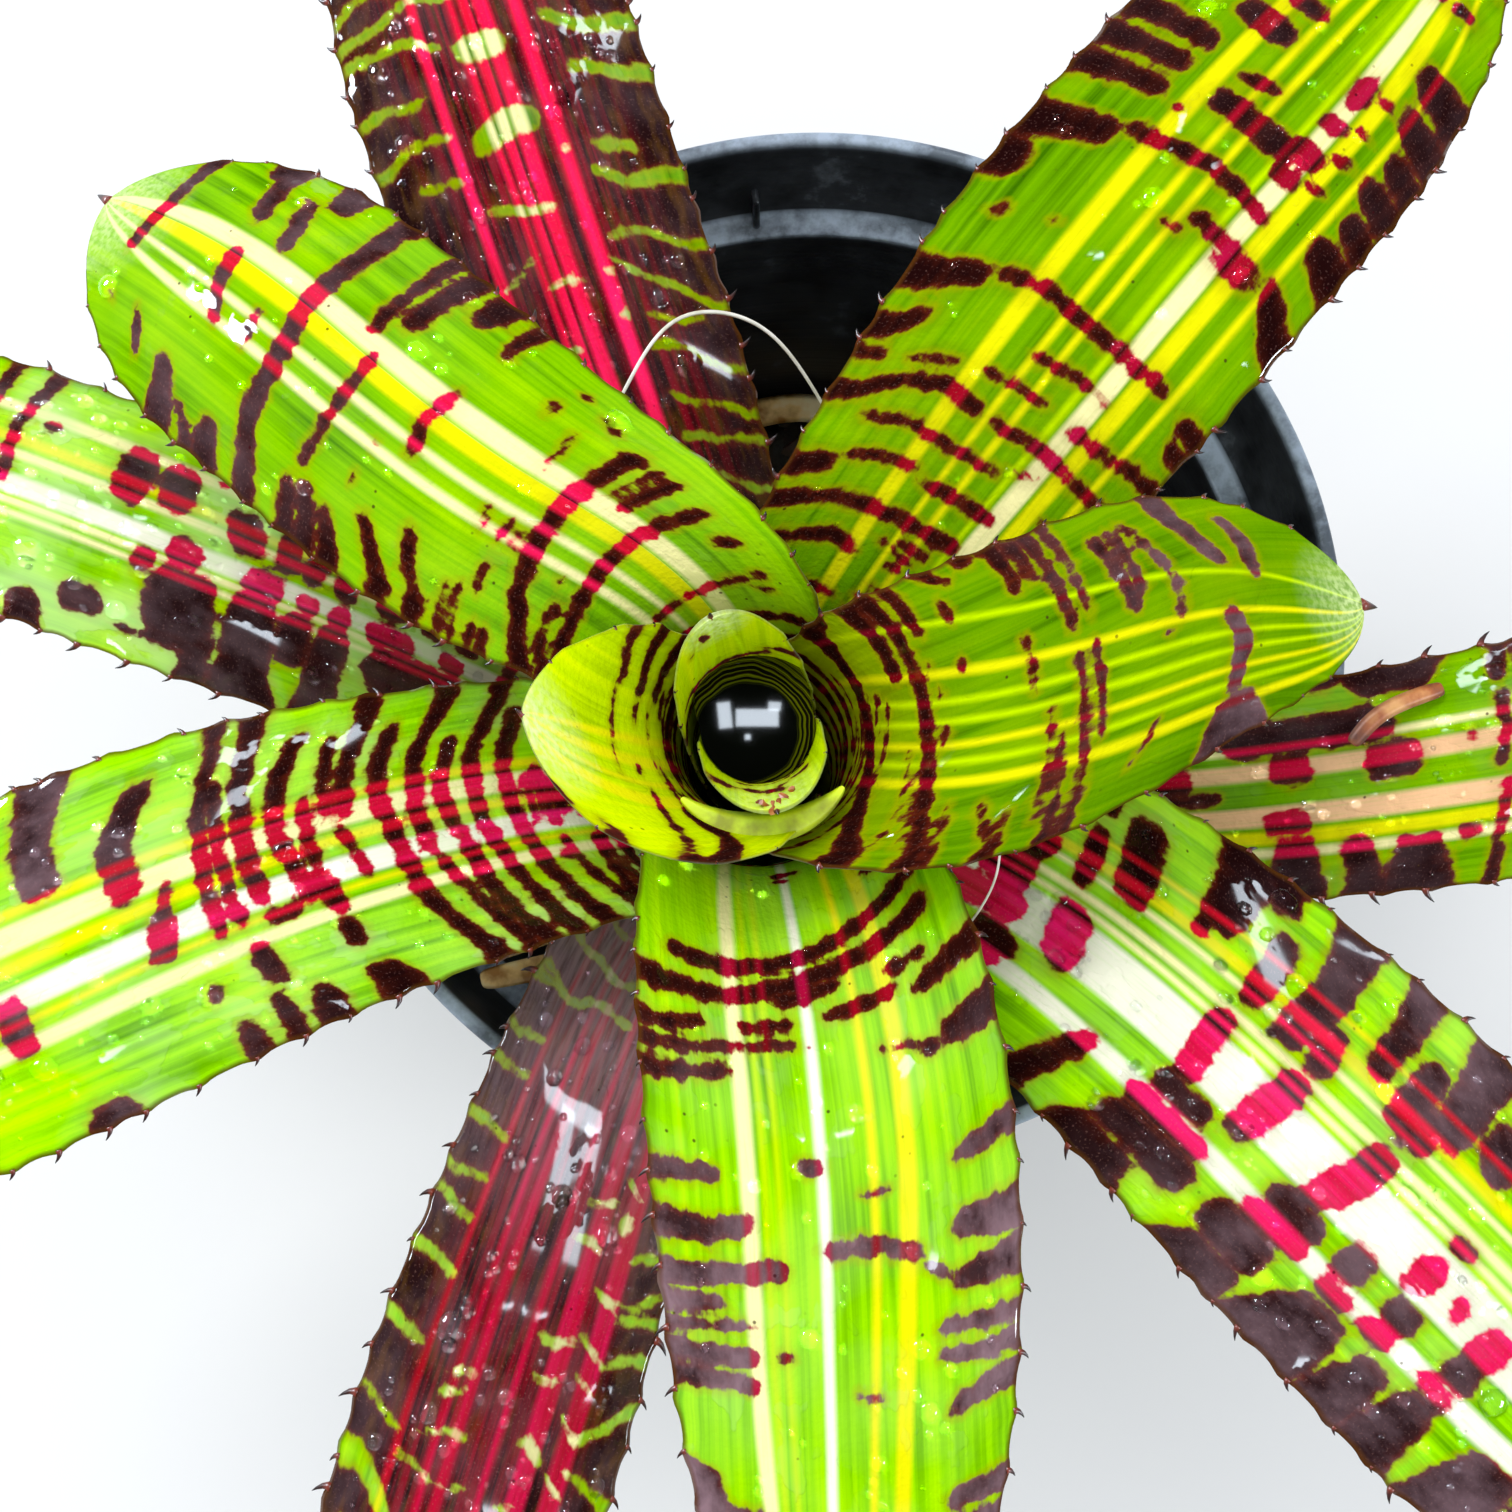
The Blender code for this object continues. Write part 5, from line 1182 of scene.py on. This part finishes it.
def wall_inner(height):
    """Inner radius of the tapered wall at a height."""
    return BASE_RADIUS - POT_WALL + (LEDGE_INNER - BASE_RADIUS + POT_WALL) * height / LEDGE_FOOT


def rounded_bar(half_thick, half_deep, sides):
    """Radii round a rounded rectangle: (|cos a / A| to the 6th + |sin a / B| to the 6th) to the power -1/6."""
    angle = np.linspace(0.0, 2 * np.pi, sides, endpoint=False)
    return (np.abs(np.cos(angle) / half_thick) ** 6 + np.abs(np.sin(angle) / half_deep) ** 6) ** (-1 / 6)


def pot_profile():
    """Up the outer side of the pot, over its rolled rim, and down the inner side to the floor."""
    foot = BASE_RADIUS - BASE_CORNER
    return [
        (foot - 8.0, 0.0), *arc(foot, BASE_CORNER, BASE_CORNER, -90, -5),
        (wall_inner(LEDGE_FOOT) + POT_WALL, LEDGE_FOOT - 1.5),
        (BAND_FOOT_RADIUS - 0.6, LEDGE_FOOT), (BAND_FOOT_RADIUS, LEDGE_FOOT + 0.6),
        (RIM_RADIUS - 0.5, POT_HEIGHT - 5.0), (RIM_RADIUS + 0.1, POT_HEIGHT - 4.4),
        *arc(RIM_RADIUS - 1.0, POT_HEIGHT - 1.0, 1.0, 0, 90),
        *arc(RIM_RADIUS - RIM_WALL + 0.8, POT_HEIGHT - 0.8, 0.8, 90, 180),
        (LEDGE_OUTER + 0.5, LEDGE_TOP + 0.8), (LEDGE_OUTER - 0.3, LEDGE_TOP),
        *arc(LEDGE_INNER + 0.6, LEDGE_TOP - 0.6, 0.6, 90, 180),
        *((wall_inner(height), height) for height in np.linspace(LEDGE_FOOT - 2.0, 6.0, 30)),
        *arc(wall_inner(6.0) - 2.9, FLOOR_THICK + 2.5, 2.5, 0, -90),
    ]


def ring_places(count, radius, azimuth=0.0):
    """Unit directions and places of a ring of equal things round the pot's axis."""
    angle = np.radians(azimuth) + 2 * np.pi * np.arange(count) / count
    away = np.stack([np.cos(angle), np.sin(angle), np.zeros(count)], axis=-1)
    return away, radius * away


print("the pot's profile has", len(pot_profile()), "points")

# %% [markdown]
# Rain leaves dust on the plastic in blotches of about a centimetre. Moulding leaves fine rings, a millimetre
# apart. The rim and the ledge's edge are pale blue-grey: stacked pots scuff one another there, and the same
# pale is also a painted highlight. Just above the mix the plastic turns brown.

# %% Pot plastic
# Heights where the rim and the ledge's edge turn pale: scuffs and a painted highlight.
SCUFFS_AND_HIGHLIGHTS = ((110.6, 0.0), (111.4, 1.0), (112.4, 1.0), (113.2, 0.0), (128.4, 0.0), (129.6, 1.0))  # height, dose


def pot_plastic():
    """Black plastic with rain-washed dust: greyer in patches, pale on the rim and ledge with scuffs and a
    painted highlight, brown near the mix.
    """
    skin, tree, shader = new_skin("black_pot_plastic", {"Specular IOR Level": 0.2})
    place = add(tree, "TexCoord", out="Object")
    height = add(tree, "SeparateXYZ", (place,), "Z")
    dust = add(tree, "TexNoise", {"Vector": place, "Scale": 90.0, "Detail": 5.0, "Roughness": 0.65})
    rings = add(tree, "VectorMath", (place, (0.02, 0.02, 1.0)), operation="MULTIPLY")
    rings = add(tree, "TexNoise", {"Vector": rings, "Scale": 900.0, "Detail": 1.0})
    tones = map(linear, ("17181b", "2b2e33", "565c64"))
    colour = set_stops(add(tree, "ValToRGB", (dust,)), (0.35, 0.6, 0.75), tones)
    # The pale blue-grey of the rim and the ledge's edge: partly scuffs, partly a painted highlight.
    scuff_and_highlight = set_stops(
        add(tree, "ValToRGB", (add(tree, "MapRange", (height, 0.0, POT_HEIGHT * MM)),)),
        [height_of / POT_HEIGHT for height_of, _ in SCUFFS_AND_HIGHLIGHTS], [(*3 * (dose,), 1.0) for _, dose in SCUFFS_AND_HIGHLIGHTS])
    worn = add(tree, "MapRange", (dust, 0.4, 0.6, 0.25, 0.9))
    scuff_and_highlight = add(tree, "Math", (scuff_and_highlight, worn), operation="MULTIPLY")
    # The plastic turns brown from 75 mm down to the top of the mix.
    brown_near_mix = add(tree, "MapRange", (height, 0.075, 0.052, 0.0, 0.6))
    brown_near_mix = add(tree, "Math", (brown_near_mix, dust), operation="MULTIPLY")
    for dose, paint in ((scuff_and_highlight, "b4c4d8"), (brown_near_mix, "3a2c20")):
        colour = add(tree, "Mix", {0: dose, 6: colour, 7: linear(paint)}, 2, data_type="RGBA")
    gloss = add(tree, "MapRange", (dust, 0.3, 0.7, 0.28, 0.55))
    bump = add(tree, "Bump", {"Height": rings, "Strength": 0.3, "Distance": 0.0003})
    plug(shader, {"Base Color": colour, "Roughness": gloss, "Normal": bump})
    return skin


PLASTIC = pot_plastic()
print("plastic nodes:", len(PLASTIC.node_tree.nodes))

# %% [markdown]
# The cutter for the drain holes is eight pegs that reach through the floor. It is taken away once the cut has
# become the pot's own mesh. The ribs stand on the ledge and end in a rounded top.

# %% Pot
pot = new_piece("moulded_pot", *turned(pot_profile(), POT_STEPS), [PLASTIC])
away, places = ring_places(DRAIN_HOLES["count"], DRAIN_HOLES["circle"])
centres = places[:, None] + np.array([[0, 0, -5.0], [0, 0, 12.0]])
cutter = new_piece("drain_cutter", *swept(centres, DRAIN_HOLES["radius"], 32, away), [PLASTIC], smooth=False)
cut = pot.modifiers.new("drain_holes", "BOOLEAN")
cut.object = cutter
cut.solver = "EXACT"
drilled = bpy.data.meshes.new_from_object(pot.evaluated_get(bpy.context.evaluated_depsgraph_get()))
pot.modifiers.clear()
pot.data = drilled
bpy.data.objects.remove(cutter)
seat(pot, "pot")

away, places = ring_places(RIBS["count"], LEDGE_OUTER + RIBS["sunk"] - RIBS["depth"] / 2, RIBS["azimuth"])
heights = LEDGE_TOP + RIBS["height"] * np.array([-0.05, 0.5, 0.93, 1.0])
centres = places[:, None] + np.array([0.0, 0.0, 1.0]) * heights[:, None]
section = rounded_bar(RIBS["depth"] / 2, RIBS["thick"] / 2, 16) * np.array([1.0, 1.0, 0.97, 0.8])[:, None]
seat(new_piece("stacking_ribs", *swept(centres, section, 16, away), [PLASTIC]), None)

# %% [markdown]
# ## Potting mix and stem
#
# The mix is composted bark: dark, wet and lumpy. Its top is a turned disc whose height comes from a few dozen
# random waves, and loose chips of bark lie half sunk in it. The stem is hidden, so its plain solid stays,
# with a fibrous skin on it. Bark, peat and stem share one recipe: fibres about 4 mm wide, in two tones.

# %% Potting mix
MIX_STEPS = 180
MIX_ROUGHNESS = 1.1
MIX_SEED = 5
WALL_GAP = 0.25
CHIPS = 620


def lumps(x, y, seed, waves=60):
    """A lumpy height in mm: the mean of many cosines of random direction, with wavelengths from 4 to 30 mm."""
    draw = np.random.default_rng(seed)
    length = draw.uniform(4.0, 30.0, waves)
    heading = draw.uniform(0.0, 2 * np.pi, waves)
    start = draw.uniform(0.0, 2 * np.pi, waves)
    phase = 2 * np.pi * (x[..., None] * np.cos(heading) + y[..., None] * np.sin(heading)) / length + start
    return (np.sqrt(length / 15.0) * np.cos(phase)).sum(-1) / math.sqrt(waves / 2)


def fibrous_skin(name, dark, light, rough):
    """Bark, peat or stem: a dark ground with lighter fibres, glossy where it is wet."""
    skin, tree, shader = new_skin(name)
    place = add(tree, "TexCoord", out="Object")
    fibres = add(tree, "TexNoise", {"Vector": place, "Scale": 260.0, "Detail": 6.0, "Roughness": 0.7})
    colour = set_stops(add(tree, "ValToRGB", (fibres,)), (0.35, 0.68), map(linear, (dark, light)))
    gloss = add(tree, "MapRange", (fibres, 0.3, 0.7, rough, 0.8))
    bump = add(tree, "Bump", {"Height": fibres, "Strength": 0.7, "Distance": 0.001})
    plug(shader, {"Base Color": colour, "Roughness": gloss, "Normal": bump})
    return skin


wall = wall_inner(MIX_TOP) - WALL_GAP
hole = STEM_RADIUS - 1.0
profile = [(hole, FLOOR_THICK + 0.2), (wall_inner(FLOOR_THICK) - 2.6, FLOOR_THICK + 0.2),
           (wall_inner(9.0) - WALL_GAP, 9.0), (wall, MIX_TOP - 1.5)]
profile += [(radius, MIX_TOP) for radius in np.linspace(wall, hole, 56)]
points, faces = turned(profile, MIX_STEPS)
x, y, z = points.T
fade = np.clip((wall - np.hypot(x, y)) / 6.0, 0.0, 1.0)
z += (z > MIX_TOP - 0.1) * (MIX_ROUGHNESS * lumps(x, y, MIX_SEED) * (0.4 + 0.6 * fade) - 0.3)
peat = fibrous_skin("wet_peat", "0c0705", "2e1d13", 0.35)
seat(new_piece("peat", points, faces, [peat]), "potting_mix")

# %% [markdown]
# A chip of bark is a short bar with four rings of six uneven corners, 1.4 to 9 mm long. Chips lie at random
# headings, some of them tilted, with their middles near the top of the mix.

# %% Bark chips and stem
draw = np.random.default_rng(8)
reach = (wall - 3.0) * np.sqrt(draw.uniform(0.03, 1.0, CHIPS))
around = draw.uniform(0.0, 2 * np.pi, CHIPS)
x, y = reach * np.cos(around), reach * np.sin(around)
z = MIX_TOP + MIX_ROUGHNESS * lumps(x, y, MIX_SEED) + draw.uniform(-0.6, 0.9, CHIPS)
middle = np.stack([x, y, z], axis=-1)[:, None]
heading = np.stack([np.cos(2.3 * around), np.sin(2.3 * around), draw.uniform(-0.35, 0.35, CHIPS)], axis=-1)
length = draw.gamma(3.0, 1.1, CHIPS).clip(1.4, 9.0)[:, None, None]
centres = middle + heading[:, None] * length * np.array([-0.5, -0.3, 0.3, 0.5])[:, None]
section = draw.uniform(0.6, 1.3, (CHIPS, 4, 6)) * np.array([1.0, 0.45, 1.0, 1.0, 0.45, 1.0])
section *= 0.22 * length * np.array([0.5, 1.0, 1.0, 0.5])[:, None]
points, faces = swept(centres, section, 6, np.cross(heading, [0.0, 0.0, 1.0]))
bark = fibrous_skin("bark_chips", "140c08", "5a3a26", 0.3)
seat(new_piece("bark", points, faces, [bark], smooth=False), None)

stem_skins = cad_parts["stem"].data.materials
stem_skins.clear()
stem_skins.append(fibrous_skin("pale_stem", "70703a", "a4a45c", 0.5))

# %% [markdown]
# ## Water in the cup
#
# The tank fills the tube of the youngest leaves, and its surface is flat. Seen from above the open water is
# almost black, apart from the panes that it mirrors. Round it the wet wall of the tube shows as olive and
# dark rings, which are painted on the surface by the distance from the middle of the open water.

# %% Tank water
WATER_LEVEL = 175.0
WATER_FOOT = 124.0
WATER_SHOULDER = 158.0
WATER_RADIUS = 6.4
OPEN_WATER = (-11.4, -24.9)
OPEN_RADIUS = 7.6
CUP_LIP_AZIMUTH = 281.0
CUP_WALLS = (7.9, 10.1)
WATER_IOR = 1.33


def water_surface():
    """Black water, and round it the wet wall of the cup as olive and dark lines 0.7 mm apart, by the distance
    from the middle of the open water plus a little noise."""
    skin, tree, shader = new_skin("tank_water_skin", {"Roughness": 0.02, "IOR": WATER_IOR})
    place = add(tree, "TexCoord", out="Object")
    middle = [value * MM for value in (*OPEN_WATER, WATER_LEVEL)]
    away = add(tree, "VectorMath", (place, middle), operation="SUBTRACT")
    away = add(tree, "VectorMath", (away, (1, 1, 0)), operation="MULTIPLY")
    away = add(tree, "VectorMath", (away,), "Value", operation="LENGTH")
    sway = add(tree, "TexNoise", {"Vector": place, "Scale": 160.0, "Detail": 2.0})
    far = add(tree, "Math", (sway, 0.0018, away), operation="MULTIPLY_ADD")
    rings = add(tree, "TexNoise", {"W": far, "Scale": 1500.0, "Detail": 2.0}, noise_dimensions="1D")
    tones = map(linear, ("0a0a04", "2c2e02", "5c6400", "140e04", "484e00", "100a04"))
    lines = set_stops(add(tree, "ValToRGB", (rings,)), (0.34, 0.42, 0.48, 0.53, 0.6, 0.66), tones)
    wall = add(tree, "MapRange", (far, OPEN_RADIUS * MM, (OPEN_RADIUS + 0.8) * MM))
    colour = add(tree, "Mix", {0: wall, 6: linear("050604"), 7: lines}, 2, data_type="RGBA")
    plug(shader, {"Base Color": colour})
    return skin


profile = [(1.6, WATER_FOOT), (WATER_RADIUS - 1.2, WATER_SHOULDER - 6.0), (WATER_RADIUS, WATER_SHOULDER)]
profile += [(WATER_RADIUS, WATER_LEVEL - 0.5)]
shares = (1.0, 0.998, 0.996, 0.99, *np.linspace(0.96, 0.04, 20))
profile += [(WATER_RADIUS * share, WATER_LEVEL - 0.1) for share in shares]
points, faces = turned(profile, 96)
around = np.degrees(np.arctan2(points[:, 1], points[:, 0]))
turn = np.abs((around - CUP_LIP_AZIMUTH + 180.0) % 360.0 - 180.0)
wide = np.interp(turn, (100.0, 135.0), CUP_WALLS) / WATER_RADIUS
rise = np.clip((points[:, 2] - WATER_SHOULDER) / (WATER_LEVEL - WATER_SHOULDER), 0.0, 1.0)
points[:, :2] *= (1.0 + (wide - 1.0) * rise)[:, None]
points[:, :2] += PLANT
seat(new_piece("cup_water", points, faces, [water_surface()]), "tank_water")

# %% [markdown]
# ## Dry leaves, scrap, crumbs and fibres
#
# Dead leaves dry to thin tan ribbons that curl. They lie in deep shade, so their tan is lightened to near
# white: their own colour, partly painted light. Each ribbon is a flat ring swept along a curve, and so are a
# rusty scrap 17 mm long on one leaf and the pale edge of an inner sheath, which shows as a bright collar
# under the cup's lip. That collar is set over a gap deep in shade, and its lime is near full brightness:
# the sheath's own colour, partly painted light. The white fibres are threads of old leaf, swept the same way
# but round. The crumbs on the lip are short bars with uneven corners.

# %% Litter
DRY_THICK = 0.8
DRY_LEAVES = (  # name, width, line and how far the ends narrow
    ("dry_leaf_1", 6.0, ((-26, 54, 50.4), (-14, 60.5, 54), (0, 63, 54.5), (9.5, 61, 50.8)), 0.55),
    ("dry_leaf_2", 5.0, ((-23.3, -33.5, 54), (-38, -43, 92), (-48, -49.5, 118), (-59, -53.2, 124.5)), 0.9),
    ("dry_leaf_3", 4.0, ((-18, -38.2, 53), (-34, -49.5, 92), (-44, -54, 116), (-54.6, -56.6, 121.5)), 0.95),
)
SCRAP = ((78.8, -22.7, 151.0), (82, -18.5, 152.6), (87, -16.2, 153.0), (92.7, -14.3, 151.6))
COLLAR = {"radius": 14.7, "height": 179.4, "width": 4.4, "azimuths": (226, 322)}
CRUMBS = np.array([(-9.9, -35.9, 184.6), (-8.8, -36.4, 185.2), (-8.0, -36.6, 185.4), (-7.0, -36.2, 185.0),
                   (-6.2, -35.4, 184.2), (-5.2, -34.4, 183.4)])
FIBRES = (
    ("fibre_arc", 0.5, ((-30.8, 24.1, 166), (-28.5, 28, 168), (-22.5, 38.5, 170), (-10.5, 40, 163),
                        (-4, 35, 157), (1.1, 28.0, 151))),
    ("fibre_thread", 0.34, ((22.9, -40.0, 176), (23.2, -44.5, 172), (21.0, -49.5, 162), (17.7, -53.3, 152))),
)


def dry_skin(name, tones):
    """Dead leaf: blotches about 6 mm wide in three tones."""
    skin, tree, shader = new_skin(name, {"Roughness": 0.55})
    place = add(tree, "TexCoord", out="Object")
    blotch = add(tree, "TexNoise", {"Vector": place, "Scale": 180.0, "Detail": 4.0})
    colour = set_stops(add(tree, "ValToRGB", (blotch,)), (0.35, 0.52, 0.68), map(linear, tones))
    bump = add(tree, "Bump", {"Height": blotch, "Strength": 0.4, "Distance": 0.0006})
    plug(shader, {"Base Color": colour, "Normal": bump})
    return skin


def ribbon(points, width, thick, rings, sides, narrow, power=4):
    """A flat strip swept along a curve. Its section is a rounded bar, thin upward and wide sideways."""
    line = spline(np.array(points, float), np.linspace(0.0, 1.0, rings))
    taper = 1.0 - narrow * np.abs(np.linspace(-1.0, 1.0, rings)) ** power
    section = rounded_bar(thick / 2, width / 2, sides) * taper[:, None]
    return swept(line[None], section[None], sides, np.array([[0.0, 0.0, 1.0]]))


# Tones lightened to near white because these leaves lie in deep shade: partly painted light.
dead_leaf_painted_light = dry_skin("dead_leaf_painted_light", ("ffeab8", "f4cc84", "b07830"))
rusty_scrap = dry_skin("rusty_scrap", ("e8a860", "b8601c", "5a2208"))
# The collar lies over a gap deep in shade, so its lime is near full brightness: partly painted light.
sheath_collar_painted_light = dry_skin("sheath_collar_painted_light", ("ecff10", "dcf400", "a8b000"))
white_fibre = dry_skin("white_fibre", ("fffaf0", "e8e4d4", "c4bca0"))
for name, width, line, narrow in DRY_LEAVES:
    piece = new_piece("ribbon_" + name, *ribbon(line, width, DRY_THICK, 60, 24, narrow), [dead_leaf_painted_light])
    seat(piece, name)
seat(new_piece("scrap", *ribbon(SCRAP, 2.6, 0.3, 40, 16, 0.95), [rusty_scrap]), None)

turn = np.radians(np.linspace(*COLLAR["azimuths"], 24))
line = np.stack([PLANT[0] + COLLAR["radius"] * np.cos(turn), PLANT[1] + COLLAR["radius"] * np.sin(turn),
                 np.full(len(turn), COLLAR["height"])], axis=-1)
points, faces = ribbon(line, COLLAR["width"], 0.5, 80, 24, 0.97, power=2)
seat(new_piece("sheath_collar_painted_light", points, faces, [sheath_collar_painted_light]), None)

draw = np.random.default_rng(21)
heading = draw.uniform(-1.0, 1.0, (len(CRUMBS), 1, 3))
centres = CRUMBS[:, None] + heading * np.array([-0.9, -0.3, 0.3, 0.9])[:, None]
radii = draw.uniform(0.2, 0.65, (len(CRUMBS), 4, 6))
points, faces = swept(centres, radii, 6, np.tile([0.1, 0.2, 1.0], (len(CRUMBS), 1)))
seat(new_piece("crumbs", points, faces, [rusty_scrap], smooth=False), None)

for name, thick, line in FIBRES:
    seat(new_piece(name, *ribbon(line, thick, thick, 70, 8, 0.4), [white_fibre]), None)

# %% [markdown]
# ## Rain drops
#
# The outer leaves are wet. A drop is a low dome whose edge dips just under the leaf's skin. Small ones are
# far more common than large ones, and they lie thickest on the outer half of the lower leaves.

# %% Drops
DROPS = {"leaf_05": 45, "leaf_06": 90, "leaf_07": 60, "leaf_08": 200, "leaf_09": 320, "leaf_10": 260,
         "leaf_11": 300, "leaf_12": 190, "leaf_13": 280}
DROP_RISE = np.array([-0.12, 0.4, 0.76, 0.95, 1.0])
DROP_WIDTH = np.array([1.0, 0.93, 0.68, 0.34, 0.06])
DROP_SIDES = 10
DROP_HEIGHT = 0.62
TIP_BARE = 12.0


def leaf_drops(shape, count):
    """Drops on the upper face of a leaf: centres rise along its normal, radii follow a dome."""
    draw = np.random.default_rng(400 + shape.layer)
    along = shape.sheath + (shape.length - shape.sheath - TIP_BARE) * np.sqrt(draw.uniform(0.06, 1.0, count))
    across = draw.uniform(-0.88, 0.88, count)
    here, forward, _, out = frame_at(shape, along, across)
    here = here + 0.5 * thickness(across)[:, None] * out
    radius = np.clip(draw.lognormal(-0.6, 0.5, count), 0.28, 1.8)[:, None, None]
    angle = np.linspace(0.0, 2 * np.pi, DROP_SIDES, endpoint=False)
    longer = draw.uniform(0.0, 0.5, (count, 1)) * np.abs(np.cos(angle))
    stretch = 1.0 + longer + draw.uniform(-0.08, 0.08, (count, DROP_SIDES))
    centres = here[:, None] + out[:, None] * DROP_HEIGHT * radius * DROP_RISE[:, None]
    return centres, radius * DROP_WIDTH[:, None] * stretch[:, None], forward


sets = [leaf_drops(shape, DROPS[shape.leaf.name]) for shape in SHAPES if shape.leaf.name in DROPS]
centres, radii, forward = (np.concatenate(parts) for parts in zip(*sets))
rain_drop = new_skin("rain_drop", {"Roughness": 0.03, "IOR": WATER_IOR, "Transmission Weight": 1.0})[0]
seat(new_piece("rain_drops", *swept(centres, radii, DROP_SIDES, forward), [rain_drop]), None)

# %% [markdown]
# ## The floor
#
# The real plant was shown on plain white. A wide pale sheet takes the soft shadow.

# %% Floor
FLOOR_MM = 20000.0
pale_floor = new_skin("pale_floor", {"Base Color": linear("eeeeee"), "Roughness": 0.9})[0]
corners = FLOOR_MM / 2 * np.array([(-1, -1, 0), (1, -1, 0), (1, 1, 0), (-1, 1, 0)])
floor = new_piece("floor", corners, [[0, 1, 2, 3]], [pale_floor], smooth=False)
print("floor:", FLOOR_MM * MM, "m wide")
